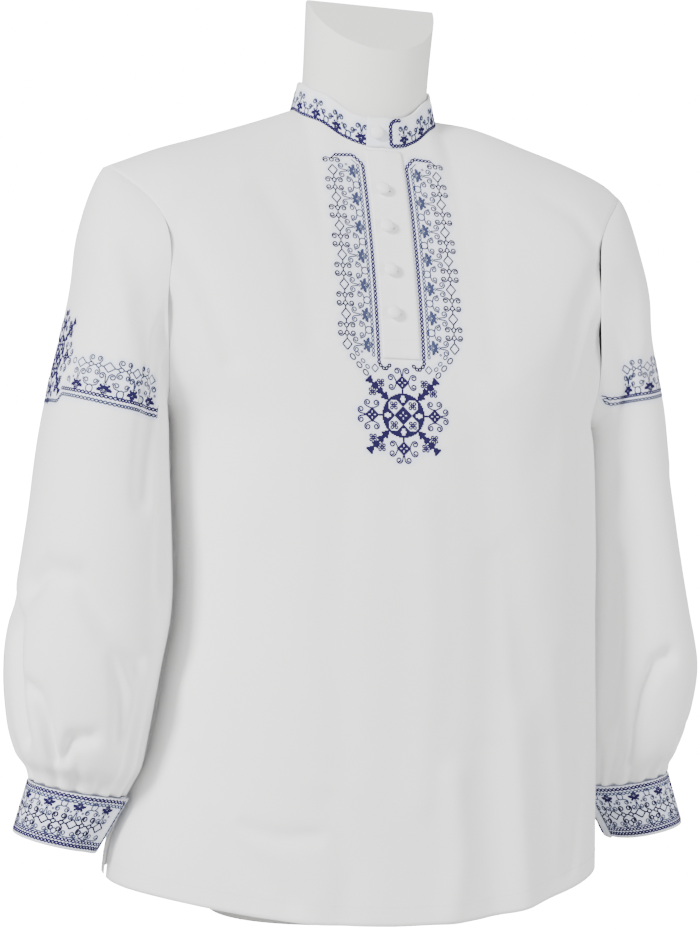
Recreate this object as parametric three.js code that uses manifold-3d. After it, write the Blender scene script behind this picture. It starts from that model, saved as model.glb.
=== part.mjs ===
import * as THREE from "three";
import { mergeVertices } from "three/addons/utils/BufferGeometryUtils.js";
import Module from "manifold-3d";

// An embroidered folk shirt on a torso form, in millimetres. +X is the viewer's right, the front
// faces -Y and +Z is up. The origin is on the surface that the form stands on. The cloth pieces are
// thin walls: a grid of outer points, the same points moved inwards, and rims that close the edges.

// ---- Cloth and seams ----
const CLOTH = 1.5; // wall of the cotton
const BAND = 2.2; // wall of the doubled cloth in the collar and the cuffs
const SEAM = 0.3; // pieces sewn together stop this far apart
const LAYER = 0.5; // a piece that lies on a panel keeps this far off it

// ---- The body of the shirt ----
const ARMPIT = 458; // height of the foot of the armholes
const ROUNDNESS = 2.3; // exponent of the body's section, 2 is an ellipse
const BACK_SPRING = 560; // above this height the back turns over to the shoulders
const CHEST_SPRING = { middle: 400, side: 540 }; // the same for the front, at the middle and the sides
const CHEST_POWER = { middle: 1.4, side: 1.85 }; // how soon the front turns over
const BACK_POWER = { middle: 2.8, side: 2.2 };
const SIDE_REACH = 200; // distance from the middle at which the side values hold
// Half-widths to the left and right and depths of the draped body, a row for each height.
const BODY = [
  { z: 0, left: 231, right: 238, front: 144, back: 134 },
  { z: 64, left: 226, right: 237, front: 142, back: 132 },
  { z: 110, left: 208, right: 236, front: 141, back: 131 },
  { z: 150, left: 193, right: 235, front: 140, back: 130 },
  { z: 222, left: 181, right: 232, front: 138, back: 129 },
  { z: 275, left: 174, right: 230, front: 136, back: 128 },
  { z: 330, left: 175, right: 229, front: 133, back: 129 },
  { z: 402, left: 181, right: 226, front: 127, back: 131 },
  { z: 440, left: 184, right: 223, front: 124, back: 132 },
  { z: ARMPIT, left: 190, right: 220, front: 123, back: 133 },
  { z: 490, left: 214, right: 230, front: 121, back: 134 },
  { z: 530, left: 240, right: 246, front: 120, back: 134 },
  { z: 620, left: 272, right: 272, front: 118, back: 134 },
  { z: 780, left: 300, right: 300, front: 118, back: 134 },
];
// The line over the shoulders, from the neck outwards.
const RIDGE = [
  { x: 70, y: 38, left: 742, right: 742 },
  { x: 108, y: 33, left: 727, right: 737 },
  { x: 160, y: 27, left: 708, right: 720 },
  { x: 200, y: 21, left: 694, right: 706 },
  { x: 235, y: 16, left: 679, right: 691 },
  { x: 252, y: 14, left: 671, right: 678 },
  { x: 300, y: 14, left: 640, right: 645 },
];
// Where the front and the back would close over the neck: it shapes them up to the neckline.
const NECK_CROWN = [
  { x: 0, front: 786, back: 775 },
  { x: 35, front: 765, back: 766 },
  { x: 52, front: 757, back: 756 },
  { x: 66, front: 744, back: 745 },
  { x: 70, front: 742, back: 742 },
];
const NECK = { side: 70, front: 67, back: 62, y: 38 }; // plan of the neckline round its centre
const SHOULDER_END = 250; // where the shoulder seam meets the sleeve
// Distance of the armhole seam from the middle, by the share of its height.
const ARMHOLE = [
  { rise: 0, left: 190, right: 220 },
  { rise: 0.2, left: 199, right: 212 },
  { rise: 0.43, left: 204, right: 204 },
  { rise: 0.62, left: 203, right: 202 },
  { rise: 0.76, left: 208, right: 206 },
  { rise: 0.86, left: 221, right: 219 },
  { rise: 0.94, left: 237, right: 236 },
  { rise: 1, left: SHOULDER_END, right: SHOULDER_END },
];
// Height of the hem's edge, by the share of the way from the middle to the side: the tail is rounded.
const HEM = [
  { share: 0, left: 12, right: 12 },
  { share: 0.25, left: 15, right: 13 },
  { share: 0.42, left: 20, right: 16.5 },
  { share: 0.58, left: 24, right: 23 },
  { share: 0.75, left: 29, right: 30 },
  { share: 0.87, left: 31.5, right: 35 },
  { share: 1, left: 33, right: 40 },
];
const SLIT = { top: 110, foot: 34, spread: 7, sharpness: 8 }; // the open foot of the side seams
const ARMHOLE_SHARPNESS = 3; // how closely the armhole's line keeps to the side of a panel

// ---- Largest folds: soft troughs along straight runs, seen square on (ridges have a negative depth) ----
const FOLDS_END = { low: 560, high: 640 }; // they fade between these heights
const SIDE_FADE = 0.82; // and from this share of the half-width to the side seam
const FRONT_FOLDS = [
  { x0: 60, z0: 489, x1: 86, z1: 331, depth: 3, width: 24 },
  { x0: 86, z0: 331, x1: 87, z1: 163, depth: 4.5, width: 22 },
  { x0: 87, z0: 163, x1: 102, z1: 0, depth: 6, width: 22 },
  { x0: 95, z0: 341, x1: 138, z1: 163, depth: 3.5, width: 22 },
  { x0: 138, z0: 163, x1: 158, z1: 40, depth: 5, width: 22 },
  { x0: 122, z0: 190, x1: 128, z1: 0, depth: -4, width: 20 },
  { x0: -215, z0: 100, x1: -140, z1: 25, depth: 5, width: 22 },
  { x0: -180, z0: 60, x1: -110, z1: 0, depth: -4, width: 22 },
  { x0: -120, z0: 330, x1: -150, z1: 130, depth: 2.5, width: 22 },
  { x0: -196, z0: 570, x1: -140, z1: 440, depth: 3, width: 26 },
  { x0: 196, z0: 560, x1: 150, z1: 430, depth: 3.5, width: 26 },
];
const BACK_FOLDS = [
  { x0: -62, z0: 430, x1: -78, z1: 0, depth: 5, width: 20 },
  { x0: -20, z0: 330, x1: -12, z1: 0, depth: -4, width: 20 },
  { x0: 66, z0: 460, x1: 52, z1: 0, depth: 5.5, width: 18 },
  { x0: 140, z0: 350, x1: 150, z1: 0, depth: 6, width: 19 },
  { x0: -150, z0: 330, x1: -160, z1: 20, depth: 5, width: 18 },
  { x0: -198, z0: 575, x1: -120, z1: 470, depth: 4, width: 16 },
  { x0: 198, z0: 575, x1: 125, z1: 465, depth: 4, width: 16 },
];

// ---- Sleeves: each ring runs from an outer to an inner point, and bulges to the front and back ----
const LEFT_SLEEVE = [
  { along: 0, outX: 250, outZ: 669, inX: 190, inZ: 458, front: -78, back: 93 },
  { along: 0.07, outX: 264, outZ: 650, inX: 191, inZ: 455.5, front: -84, back: 94 },
  { along: 0.16, outX: 272, outZ: 615, inX: 191, inZ: 452, front: -88, back: 92 },
  { along: 0.26, outX: 277, outZ: 560, inX: 190.5, inZ: 448, front: -90, back: 88 },
  { along: 0.36, outX: 286, outZ: 512, inX: 190, inZ: 443, front: -92, back: 84 },
  { along: 0.42, outX: 295, outZ: 474, inX: 189.5, inZ: 437, front: -93, back: 80 },
  { along: 0.52, outX: 304, outZ: 420, inX: 188, inZ: 402, front: -94, back: 76 },
  { along: 0.62, outX: 311, outZ: 350, inX: 184, inZ: 340, front: -97, back: 80 },
  { along: 0.72, outX: 319, outZ: 285, inX: 182, inZ: 275, front: -98, back: 84 },
  { along: 0.8, outX: 326, outZ: 230, inX: 189, inZ: 222, front: -97, back: 84 },
  { along: 0.88, outX: 323, outZ: 175, inX: 197, inZ: 168, front: -88, back: 76 },
  { along: 0.93, outX: 315, outZ: 147, inX: 202, inZ: 136, front: -76, back: 62 },
  { along: 0.97, outX: 305, outZ: 133, inX: 209, inZ: 119, front: -57, back: 42 },
  { along: 1, outX: 302, outZ: 123, inX: 214, inZ: 108, front: -49, back: 33 },
];
const RIGHT_SLEEVE = [
  { along: 0, outX: 250, outZ: 678, inX: 220, inZ: 458, front: -78, back: 93 },
  { along: 0.07, outX: 263, outZ: 659, inX: 225, inZ: 455.5, front: -76, back: 98 },
  { along: 0.16, outX: 272, outZ: 615, inX: 228, inZ: 452, front: -68, back: 104 },
  { along: 0.26, outX: 282, outZ: 560, inX: 229, inZ: 448, front: -58, back: 110 },
  { along: 0.36, outX: 295, outZ: 512, inX: 230, inZ: 443, front: -52, back: 114 },
  { along: 0.42, outX: 305, outZ: 474, inX: 230, inZ: 437, front: -50, back: 115 },
  { along: 0.52, outX: 315, outZ: 420, inX: 231, inZ: 402, front: -48, back: 114 },
  { along: 0.62, outX: 328, outZ: 350, inX: 232, inZ: 340, front: -50, back: 118 },
  { along: 0.72, outX: 342, outZ: 285, inX: 234, inZ: 280, front: -54, back: 120 },
  { along: 0.8, outX: 353, outZ: 230, inX: 235, inZ: 225, front: -55, back: 118 },
  { along: 0.88, outX: 348, outZ: 175, inX: 238, inZ: 170, front: -46, back: 108 },
  { along: 0.93, outX: 341, outZ: 147, inX: 242, inZ: 138, front: -36, back: 96 },
  { along: 0.97, outX: 335, outZ: 128, inX: 246, inZ: 114, front: -18, back: 81 },
  { along: 1, outX: 335, outZ: 118, inX: 248, inZ: 103, front: -9, back: 72 },
];
const SLEEVE_ROUNDNESS = 2.2;
const CAP_BLEND = 0.2; // the armhole's own line dies out over this share of the sleeve
const GATHERS = 16; // gathers into the cuff
const GATHER = { from: 0.8, full: 0.95, depth: 3.2 }; // where they start along the sleeve, and how deep
const CUFFS = {
  left: {
    top: { outX: 302, outZ: 121.5, inX: 214, inZ: 106.5, front: -49, back: 33 },
    foot: { outX: 314, outZ: 76, inX: 241.5, inZ: 59, front: -45, back: 29 },
  },
  right: {
    top: { outX: 335, outZ: 116.5, inX: 248, inZ: 101.5, front: -9, back: 72 },
    foot: { outX: 352, outZ: 67, inX: 278, inZ: 51, front: -5, back: 68 },
  },
};
const CUFF_END = THREE.MathUtils.degToRad(168); // a cuff's upper end, from the outside round the front
const CUFF_LAP = THREE.MathUtils.degToRad(22); // how far it laps over the lower end

// ---- Collar, placket and buttons ----
// The collar stands on the neckline with a little air below it, and is narrower at the top.
const COLLAR = { foot: 1.1, height: 27, sideTaper: 0.91, depthTaper: 0.93 };
const COLLAR_UNDER = THREE.MathUtils.degToRad(7); // the lower end of the collar, right of the middle
const COLLAR_OVER = THREE.MathUtils.degToRad(-12.5); // the upper end, left of the middle
const PLACKET = { half: 17.5, top: 699, foot: 506, rows: 12, columns: 4 };
const BUTTON = { radius: 6.4, flatness: 0.6, x: -6.5 };
const BUTTON_HEIGHTS = [660, 625, 585, 546]; // down the placket
const COLLAR_BUTTON = { rise: 0.45, angle: THREE.MathUtils.degToRad(-5) };

// ---- The torso form, which stands on its own flat foot ----
const SHOULDER_CLEARANCE = 4; // the form's shoulders below the outside of the cloth
const FORM = [
  { z: 0, half: 132, front: 84, back: 82, round: 2.3, fit: 0 },
  { z: 8, half: 138, front: 88, back: 86, round: 2.3, fit: 0 },
  { z: 90, half: 152, front: 96, back: 96, round: 2.3, fit: 0 },
  { z: 190, half: 148, front: 96, back: 90, round: 2.3, fit: 0 },
  { z: 300, half: 146, front: 98, back: 86, round: 2.4, fit: 0 },
  { z: 400, half: 160, front: 104, back: 100, round: 2.6, fit: 0.1 },
  { z: 470, half: 174, front: 106, back: 112, round: 3, fit: 0.4 },
  { z: 540, half: 186, front: 100, back: 120, round: 4, fit: 0.85 },
  { z: 590, half: 194, front: 96, back: 120, round: 6, fit: 1 },
  { z: 640, half: 196, front: 96, back: 120, round: 7, fit: 1 },
  { z: 662, half: 192, front: 96, back: 120, round: 8, fit: 1 },
  { z: 680, half: 180, front: 96, back: 120, round: 10, fit: 1 },
  { z: 694, half: 158, front: 96, back: 120, round: 14, fit: 1 },
  { z: 704, half: 140, front: 96, back: 120, round: 20, fit: 1 },
  { z: 716, half: 112, front: 96, back: 120, round: 20, fit: 1 },
  { z: 728, half: 88, front: 96, back: 120, round: 20, fit: 1 },
  { z: 738, half: 68, front: 96, back: 120, round: 20, fit: 1 },
];
const FORM_SIDES = 40;
const FORM_EDGE = 2.2; // exponent that closes the torso's rings at the sides
const NECK_COLUMN = [
  { z: 660, y: 50, side: 58, depth: 52 },
  { z: 700, y: 45, side: 59, depth: 55 },
  { z: 740, y: 39, side: 60, depth: 58 },
  { z: 780, y: 33, side: 60, depth: 57 },
  { z: 830, y: 26, side: 61.5, depth: 57 },
  { z: 880, y: 19, side: 63, depth: 57 },
];
const NECK_TOP = 844; // level behind the middle of the neck
const NECK_SLOPE = THREE.MathUtils.degToRad(45); // and cut away in front of it
const NECK_CUTTER = 400; // size of the block that cuts it

// ---- Fineness of the grids ----
const BODY_COLUMNS = 26; // across a panel
const NECK_COLUMNS = 12; // of them, those that end at the neckline
const LOWER_ROWS = 11; // hem to armpit
const ROWS_CLOSE_UP = 1.4; // exponent by which they draw closer towards the armpit
const UPPER_ROWS = 16; // armpit to shoulder, and half of the points round an armhole
const SLEEVE_ROWS = 18;
const BAND_ROWS = 2; // collar and cuffs
const BAND_COLUMNS = 40;
const NORMAL_STEP = 2; // reach of the differences that give the front's direction, in mm
const TURN_STEP = 0.02; // and the collar's, in radians
const HALVINGS = 40; // of the search for the neckline
const SEARCH_FROM = 600; // the height below which there is no neckline

const FRONT = -1;
const BACK = 1;
const lerp = THREE.MathUtils.lerp;
const smooth = THREE.MathUtils.smoothstep;
const signedPower = (value, exponent) => Math.sign(value) * Math.abs(value) ** exponent;

// The value of a column of a table at a key, on a smooth curve through the rows.
function along(rows, key, column, at) {
  const last = rows.length - 1;
  if (at <= rows[0][key]) return rows[0][column];
  if (at >= rows[last][key]) return rows[last][column];
  const i = rows.findIndex((row) => row[key] > at) - 1;
  const chord = (a, b) => (rows[b][column] - rows[a][column]) / (rows[b][key] - rows[a][key]);
  const slope = (k) => chord(Math.max(k - 1, 0), Math.min(k + 1, last));
  const step = rows[i + 1][key] - rows[i][key];
  const t = (at - rows[i][key]) / step;
  const ease = t * t * (3 - 2 * t);
  const bend = t * (1 - t) * step;
  const ends = lerp(rows[i][column], rows[i + 1][column], ease);
  return ends + bend * ((1 - t) * slope(i) - t * slope(i + 1));
}

// ---- The surface of the body ----

function halfWidth(x, z) {
  return along(BODY, "z", x < 0 ? "left" : "right", z);
}

function ridge(face, x) {
  const out = Math.abs(x);
  const overNeck = along(NECK_CROWN, "x", face === FRONT ? "front" : "back", out);
  const z = out < NECK.side ? overNeck : along(RIDGE, "x", x < 0 ? "left" : "right", out);
  return { y: along(RIDGE, "x", "y", out), z };
}

// How deep the folds press in at a point of a panel: the deepest trough and the highest ridge count.
function foldDepth(folds, x, z) {
  let trough = 0;
  let crest = 0;
  for (const fold of folds) {
    const run = new THREE.Vector2(fold.x1 - fold.x0, fold.z1 - fold.z0);
    const from = new THREE.Vector2(x - fold.x0, z - fold.z0);
    const share = THREE.MathUtils.clamp(from.dot(run) / run.lengthSq(), 0, 1);
    const distance = from.distanceTo(run.multiplyScalar(share));
    const depth = fold.depth * Math.exp(-((distance / fold.width) ** 2));
    trough = Math.max(trough, depth);
    crest = Math.min(crest, depth);
  }
  return trough + crest;
}

// The y of the body's surface at x and z, on the front or the back.
function faceY(face, x, z) {
  const side = Math.min(Math.abs(x) / SIDE_REACH, 1);
  const top = ridge(face, x);
  const chest = lerp(CHEST_SPRING.middle, CHEST_SPRING.side, smooth(side, 0, 1));
  const spring = face === FRONT ? chest : BACK_SPRING;
  const depth = along(BODY, "z", face === FRONT ? "front" : "back", Math.min(z, spring));
  const across = Math.min(Math.abs(x) / halfWidth(x, z), 1);
  const flat = face * depth * (1 - across ** ROUNDNESS) ** (1 / ROUNDNESS);
  if (z <= spring) return flat;
  const powers = face === FRONT ? CHEST_POWER : BACK_POWER;
  const power = lerp(powers.middle, powers.side, side);
  const rise = Math.min((z - spring) / (top.z - spring), 1);
  return top.y + (flat - top.y) * (1 - rise ** power) ** (1 / power);
}

// A point on the outside of a panel. Its folds fade where the cloth lies on the shoulders and at its sides.
function panelPoint(face, x, z) {
  const folds = face === FRONT ? FRONT_FOLDS : BACK_FOLDS;
  const across = Math.abs(x) / halfWidth(x, z);
  const fade = (1 - smooth(z, FOLDS_END.low, FOLDS_END.high)) * (1 - smooth(across, SIDE_FADE, 1));
  return new THREE.Vector3(x, faceY(face, x, z) - face * foldDepth(folds, x, z) * fade, z);
}

// The neckline at an angle from the middle of the front or back, in plan and in height.
function neckPoint(face, angle) {
  const x = NECK.side * Math.sin(angle);
  const reach = face === FRONT ? NECK.front : NECK.back;
  const y = NECK.y + face * reach * Math.cos(angle);
  let low = SEARCH_FROM;
  let high = ridge(face, x).z;
  for (let k = 0; k < HALVINGS; k += 1) {
    const middle = (low + high) / 2;
    if (face * (faceY(face, x, middle) - y) > 0) low = middle;
    else high = middle;
  }
  return new THREE.Vector3(x, y, (low + high) / 2);
}

// The armhole seam, by the share of its height.
function armholePoint(side, face, rise) {
  const x = side * along(ARMHOLE, "rise", side < 0 ? "left" : "right", rise);
  return panelPoint(face, x, lerp(ARMPIT, ridge(face, side * SHOULDER_END).z, rise));
}

// The top edge of a panel: the neckline in the middle and a shoulder seam on each side.
function topEdge(face, u) {
  const neckShare = NECK_COLUMNS / BODY_COLUMNS;
  if (Math.abs(u) <= neckShare + 1e-6) return neckPoint(face, (u / neckShare) * (Math.PI / 2));
  const out = (Math.abs(u) - neckShare) / (1 - neckShare);
  const x = Math.sign(u) * lerp(NECK.side, SHOULDER_END, out);
  const seam = ridge(face, x);
  return new THREE.Vector3(x, seam.y, seam.z);
}

function lowerPoint(face, u, v) {
  const angle = (u * Math.PI) / 2;
  const hem = along(HEM, "share", u < 0 ? "left" : "right", Math.abs(Math.sin(angle)));
  const z = lerp(ARMPIT, hem, (1 - v) ** ROWS_CLOSE_UP);
  const x = halfWidth(u, z) * signedPower(Math.sin(angle), 2 / ROUNDNESS);
  const point = panelPoint(face, x, z);
  const open = smooth(SLIT.top - z, 0, SLIT.top - SLIT.foot);
  point.y += face * SLIT.spread * open * Math.abs(u) ** SLIT.sharpness;
  return point;
}

function upperPoint(face, u, rise) {
  const top = topEdge(face, u);
  const start = halfWidth(u, ARMPIT) * signedPower(Math.sin((u * Math.PI) / 2), 2 / ROUNDNESS);
  const side = u < 0 ? -1 : 1;
  const seam = along(ARMHOLE, "rise", side < 0 ? "left" : "right", rise);
  const bulge = seam - lerp(halfWidth(side, ARMPIT), SHOULDER_END, rise);
  const x = lerp(start, top.x, rise) + side * bulge * Math.abs(u) ** ARMHOLE_SHARPNESS;
  return rise === 1 ? top : panelPoint(face, x, lerp(ARMPIT, top.z, rise));
}

// ---- Walls from grids of points ----

const up = new THREE.Vector3(0, 0, 1);

// The outward normal at each point of a grid, whose rows go up and whose columns go to the viewer's right.
function normalsOf(grid, wraps) {
  const rows = grid.length;
  const columns = grid[0].length;
  const pick = (c) => (wraps ? (c + columns) % columns : Math.min(Math.max(c, 0), columns - 1));
  return grid.map((row, r) =>
    row.map((point, c) => {
      const across = row[pick(c + 1)].clone().sub(row[pick(c - 1)]);
      const rise = grid[Math.min(r + 1, rows - 1)][c].clone().sub(grid[Math.max(r - 1, 0)][c]);
      return across.cross(rise).normalize();
    }),
  );
}

function positionsOf(points) {
  return new THREE.Float32BufferAttribute(points.flatMap((p) => [p.x, p.y, p.z]), 3);
}

// A closed wall: the outer grid, the same grid moved inwards, and rims along the free edges.
function wall(outer, normals, thickness, wraps) {
  const rows = outer.length;
  const columns = outer[0].length;
  const moved = (p, r, c) => p.clone().addScaledVector(normals[r][c], -thickness);
  const inner = outer.map((row, r) => row.map((p, c) => moved(p, r, c)));
  const outside = (r, c) => r * columns + (c % columns);
  const inside = (r, c) => rows * columns + outside(r, c);
  const faces = [];
  const quad = (a, b, c, d) => faces.push(a, b, c, a, c, d);
  const top = rows - 1;
  const right = columns - 1;
  const across = wraps ? columns : right;
  for (let r = 0; r < top; r += 1)
    for (let c = 0; c < across; c += 1) {
      quad(outside(r, c), outside(r, c + 1), outside(r + 1, c + 1), outside(r + 1, c));
      quad(inside(r, c), inside(r + 1, c), inside(r + 1, c + 1), inside(r, c + 1));
    }
  for (let c = 0; c < across; c += 1) {
    quad(outside(0, c), inside(0, c), inside(0, c + 1), outside(0, c + 1));
    quad(outside(top, c), outside(top, c + 1), inside(top, c + 1), inside(top, c));
  }
  for (let r = 0; r < top && !wraps; r += 1) {
    quad(outside(r, 0), outside(r + 1, 0), inside(r + 1, 0), inside(r, 0));
    quad(outside(r, right), inside(r, right), inside(r + 1, right), outside(r + 1, right));
  }
  const geometry = new THREE.BufferGeometry();
  geometry.setAttribute("position", positionsOf([...outer.flat(), ...inner.flat()]));
  geometry.setIndex(faces);
  return geometry;
}

// At an armhole the wall stands square to the seam, so that panel and sleeve meet edge to edge.
function squareToArmhole(normal, rise) {
  const level = 1 - smooth(rise, 0.1, 0.4);
  return normal.setX(normal.x * level).normalize();
}

// ---- Materials ----

const cotton = (color) => new THREE.MeshStandardMaterial({ color, roughness: 0.85, metalness: 0 });

function part(name, geometry, material) {
  const mesh = new THREE.Mesh(geometry, material);
  mesh.name = name;
  return mesh;
}

// ---- Front and back ----

function armholeRise(row) {
  return (1 - Math.cos((Math.PI * row) / UPPER_ROWS)) / 2;
}

function panel(name, face) {
  const grid = [];
  for (let row = 0; row < LOWER_ROWS + UPPER_ROWS + 1; row += 1) {
    const points = [];
    for (let column = 0; column <= BODY_COLUMNS; column += 1) {
      const u = -face * ((2 * column) / BODY_COLUMNS - 1);
      const rise = armholeRise(row - LOWER_ROWS);
      points.push(row < LOWER_ROWS ? lowerPoint(face, u, row / LOWER_ROWS) : upperPoint(face, u, rise));
    }
    grid.push(points);
  }
  const normals = normalsOf(grid, false);
  const top = grid.length - 1;
  grid.forEach((points, row) => {
    for (const column of [0, BODY_COLUMNS]) {
      if (row < LOWER_ROWS) normals[row][column].setY(0).normalize();
      else squareToArmhole(normals[row][column], armholeRise(row - LOWER_ROWS));
      points[column].y += face * (SEAM / 2);
    }
  });
  grid[top].forEach((point, column) => {
    const overShoulder = Math.abs(column - BODY_COLUMNS / 2) >= NECK_COLUMNS / 2;
    if (!overShoulder) return;
    normals[top][column].setY(0).normalize();
    if (column > 0 && column < BODY_COLUMNS) point.y += face * (SEAM / 2);
  });
  return part(name, wall(grid, normals, CLOTH, false), cotton(0xdcdde0));
}

// ---- Sleeves and cuffs ----

function ringCentre(side, ring) {
  const x = (side * (ring.outX + ring.inX)) / 2;
  return new THREE.Vector3(x, (ring.front + ring.back) / 2, (ring.outZ + ring.inZ) / 2);
}

// A point of a ring between its outer point (angle 0) and inner point (half a turn), round by the front.
function ringPoint(side, ring, angle) {
  const across = signedPower(Math.cos(angle), 2 / SLEEVE_ROUNDNESS);
  const round = signedPower(Math.sin(angle), 2 / SLEEVE_ROUNDNESS);
  const outwards = new THREE.Vector3(side * (ring.outX - ring.inX), 0, ring.outZ - ring.inZ);
  const point = ringCentre(side, ring).addScaledVector(outwards, across / 2);
  point.y -= ((ring.back - ring.front) / 2) * round;
  return point;
}

function sleeveRing(rows, share) {
  const ring = {};
  for (const column of Object.keys(rows[0])) ring[column] = along(rows, "along", column, share);
  return ring;
}

function gatherDepth(share, angle) {
  const grown = smooth(share, GATHER.from, GATHER.full);
  return GATHER.depth * grown * (1 - Math.cos(GATHERS * angle)) * 0.5;
}

function sleeve(name, side, rows) {
  const around = 2 * UPPER_ROWS;
  const grid = [];
  for (let row = 0; row <= SLEEVE_ROWS; row += 1) {
    const share = 1 - row / SLEEVE_ROWS;
    const ring = sleeveRing(rows, share);
    const centre = ringCentre(side, ring);
    const points = [];
    for (let column = 0; column < around; column += 1) {
      const angle = -side * ((2 * Math.PI * column) / around);
      const free = ringPoint(side, ring, angle);
      const inwards = centre.clone().sub(free).normalize();
      free.addScaledVector(inwards, gatherDepth(share, angle));
      const seamFace = Math.sin(angle) > 0 ? FRONT : BACK;
      const seam = armholePoint(side, seamFace, (1 + Math.cos(angle)) / 2);
      seam.x += side * SEAM;
      points.push(seam.lerp(free, smooth(share, 0, CAP_BLEND)));
    }
    grid.push(points);
  }
  const normals = normalsOf(grid, true);
  normals[SLEEVE_ROWS].forEach((normal, column) => {
    squareToArmhole(normal, (1 + Math.cos((2 * Math.PI * column) / around)) / 2);
  });
  return part(name, wall(grid, normals, CLOTH, true), cotton(0xe3e3e8));
}

// A band that goes once round and laps over itself, with its first or its last end on top. The outside
// is point(angle, share of height), and the angles run anticlockwise, seen from above.
function lappedBand(point, from, to, firstOnTop) {
  const turned = Math.abs(to - from);
  const lap = turned - 2 * Math.PI;
  const grid = [];
  for (let row = 0; row <= BAND_ROWS; row += 1) {
    const points = [];
    for (let column = 0; column <= BAND_COLUMNS; column += 1)
      points.push(point(lerp(from, to, column / BAND_COLUMNS), row / BAND_ROWS));
    grid.push(points);
  }
  const normals = normalsOf(grid, false);
  grid.forEach((points, row) =>
    points.forEach((p, column) => {
      const share = column / BAND_COLUMNS;
      const fromUpperEnd = turned * (firstOnTop ? share : 1 - share);
      const lift = (BAND + LAYER) * (1 - smooth(fromUpperEnd, lap, 2 * lap));
      p.addScaledVector(normals[row][column], lift);
    }),
  );
  return wall(grid, normals, BAND, false);
}

function cuff(name, side, rings) {
  const point = (angle, rise) => {
    const ring = {};
    for (const key of Object.keys(rings.top)) ring[key] = lerp(rings.foot[key], rings.top[key], rise);
    return ringPoint(side, ring, angle);
  };
  const from = CUFF_END + side * CUFF_LAP;
  const to = CUFF_END - side * 2 * Math.PI;
  return part(name, lappedBand(point, from, to, false), cotton(0xc9cfe6));
}

// ---- Collar, placket and buttons ----

// The outside of the collar: an angle of 0 is the middle of the front, positive to the viewer's right.
function collarPoint(angle, rise) {
  const turn = Math.atan2(Math.sin(angle), Math.cos(angle));
  const fromBack = Math.sign(turn) * (Math.PI - Math.abs(turn));
  const base = Math.abs(turn) <= Math.PI / 2 ? neckPoint(FRONT, turn) : neckPoint(BACK, fromBack);
  const top = new THREE.Vector3(
    base.x * COLLAR.sideTaper,
    NECK.y + (base.y - NECK.y) * COLLAR.depthTaper,
    base.z + COLLAR.height,
  );
  return base.addScaledVector(up, COLLAR.foot).lerp(top, rise);
}

function collar() {
  const geometry = lappedBand(collarPoint, COLLAR_OVER, COLLAR_UNDER + 2 * Math.PI, true);
  return part("collar", geometry, cotton(0xc9cfe6));
}

function frontNormal(x, z) {
  const across = panelPoint(FRONT, x + NORMAL_STEP, z).sub(panelPoint(FRONT, x - NORMAL_STEP, z));
  const rise = panelPoint(FRONT, x, z + NORMAL_STEP).sub(panelPoint(FRONT, x, z - NORMAL_STEP));
  return across.cross(rise).normalize();
}

function placket() {
  const grid = [];
  for (let row = 0; row <= PLACKET.rows; row += 1) {
    const z = lerp(PLACKET.foot, PLACKET.top, row / PLACKET.rows);
    const points = [];
    for (let column = 0; column <= PLACKET.columns; column += 1) {
      const x = lerp(-PLACKET.half, PLACKET.half, column / PLACKET.columns);
      points.push(panelPoint(FRONT, x, z).addScaledVector(frontNormal(x, z), LAYER + CLOTH));
    }
    grid.push(points);
  }
  return part("placket", wall(grid, normalsOf(grid, false), CLOTH, false), cotton(0xe2e3e6));
}

function button(name, seat, normal) {
  const geometry = new THREE.SphereGeometry(BUTTON.radius, 12, 8);
  geometry.rotateX(Math.PI / 2);
  geometry.scale(1, 1, BUTTON.flatness);
  const mesh = part(name, geometry, cotton(0xe6e6ea));
  mesh.quaternion.setFromUnitVectors(up, normal);
  mesh.position.copy(seat).addScaledVector(normal, BUTTON.radius * BUTTON.flatness + SEAM);
  return mesh;
}

function collarButton() {
  const { angle, rise } = COLLAR_BUTTON;
  const across = collarPoint(angle + TURN_STEP, rise).sub(collarPoint(angle - TURN_STEP, rise));
  const outwards = across.cross(collarPoint(angle, 1).sub(collarPoint(angle, 0))).normalize();
  const seat = collarPoint(angle, rise).addScaledVector(outwards, BAND + LAYER);
  return button("button_collar", seat, outwards);
}

function placketButton(z, k) {
  const normal = frontNormal(BUTTON.x, z);
  const seat = panelPoint(FRONT, BUTTON.x, z).addScaledVector(normal, LAYER + CLOTH);
  return button(`button_${k + 1}`, seat, normal);
}

// ---- The torso form ----

const wasm = await Module();
wasm.setup();

function solid(geometry) {
  const merged = mergeVertices(geometry, 1e-3);
  return new wasm.Manifold(
    new wasm.Mesh({
      numProp: 3,
      vertProperties: merged.attributes.position.array,
      triVerts: new Uint32Array(merged.index.array),
    }),
  );
}

function geometryOf(manifold) {
  const mesh = manifold.getMesh();
  const geometry = new THREE.BufferGeometry();
  geometry.setAttribute("position", new THREE.BufferAttribute(mesh.vertProperties, 3));
  geometry.setIndex(new THREE.BufferAttribute(mesh.triVerts, 1));
  return geometry;
}

// A solid skinned over rings of equal length, closed by a flat fan at the foot and the top.
function loft(rings) {
  const count = rings[0].length;
  const centre = (ring) => ring.reduce((sum, p) => sum.add(p), new THREE.Vector3()).divideScalar(count);
  const points = [...rings.flat(), centre(rings[0]), centre(rings[rings.length - 1])];
  const foot = points.length - 2;
  const crown = points.length - 1;
  const faces = [];
  for (let k = 0; k < count; k += 1) {
    const next = (k + 1) % count;
    for (let r = 0; r < rings.length - 1; r += 1) {
      const low = r * count;
      const high = low + count;
      faces.push(low + k, low + next, high + next, low + k, high + next, high + k);
    }
    const lastRing = (rings.length - 1) * count;
    faces.push(foot, next, k, crown, lastRing + k, lastRing + next);
  }
  const geometry = new THREE.BufferGeometry();
  geometry.setAttribute("position", positionsOf(points));
  geometry.setIndex(faces);
  return geometry;
}

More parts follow.
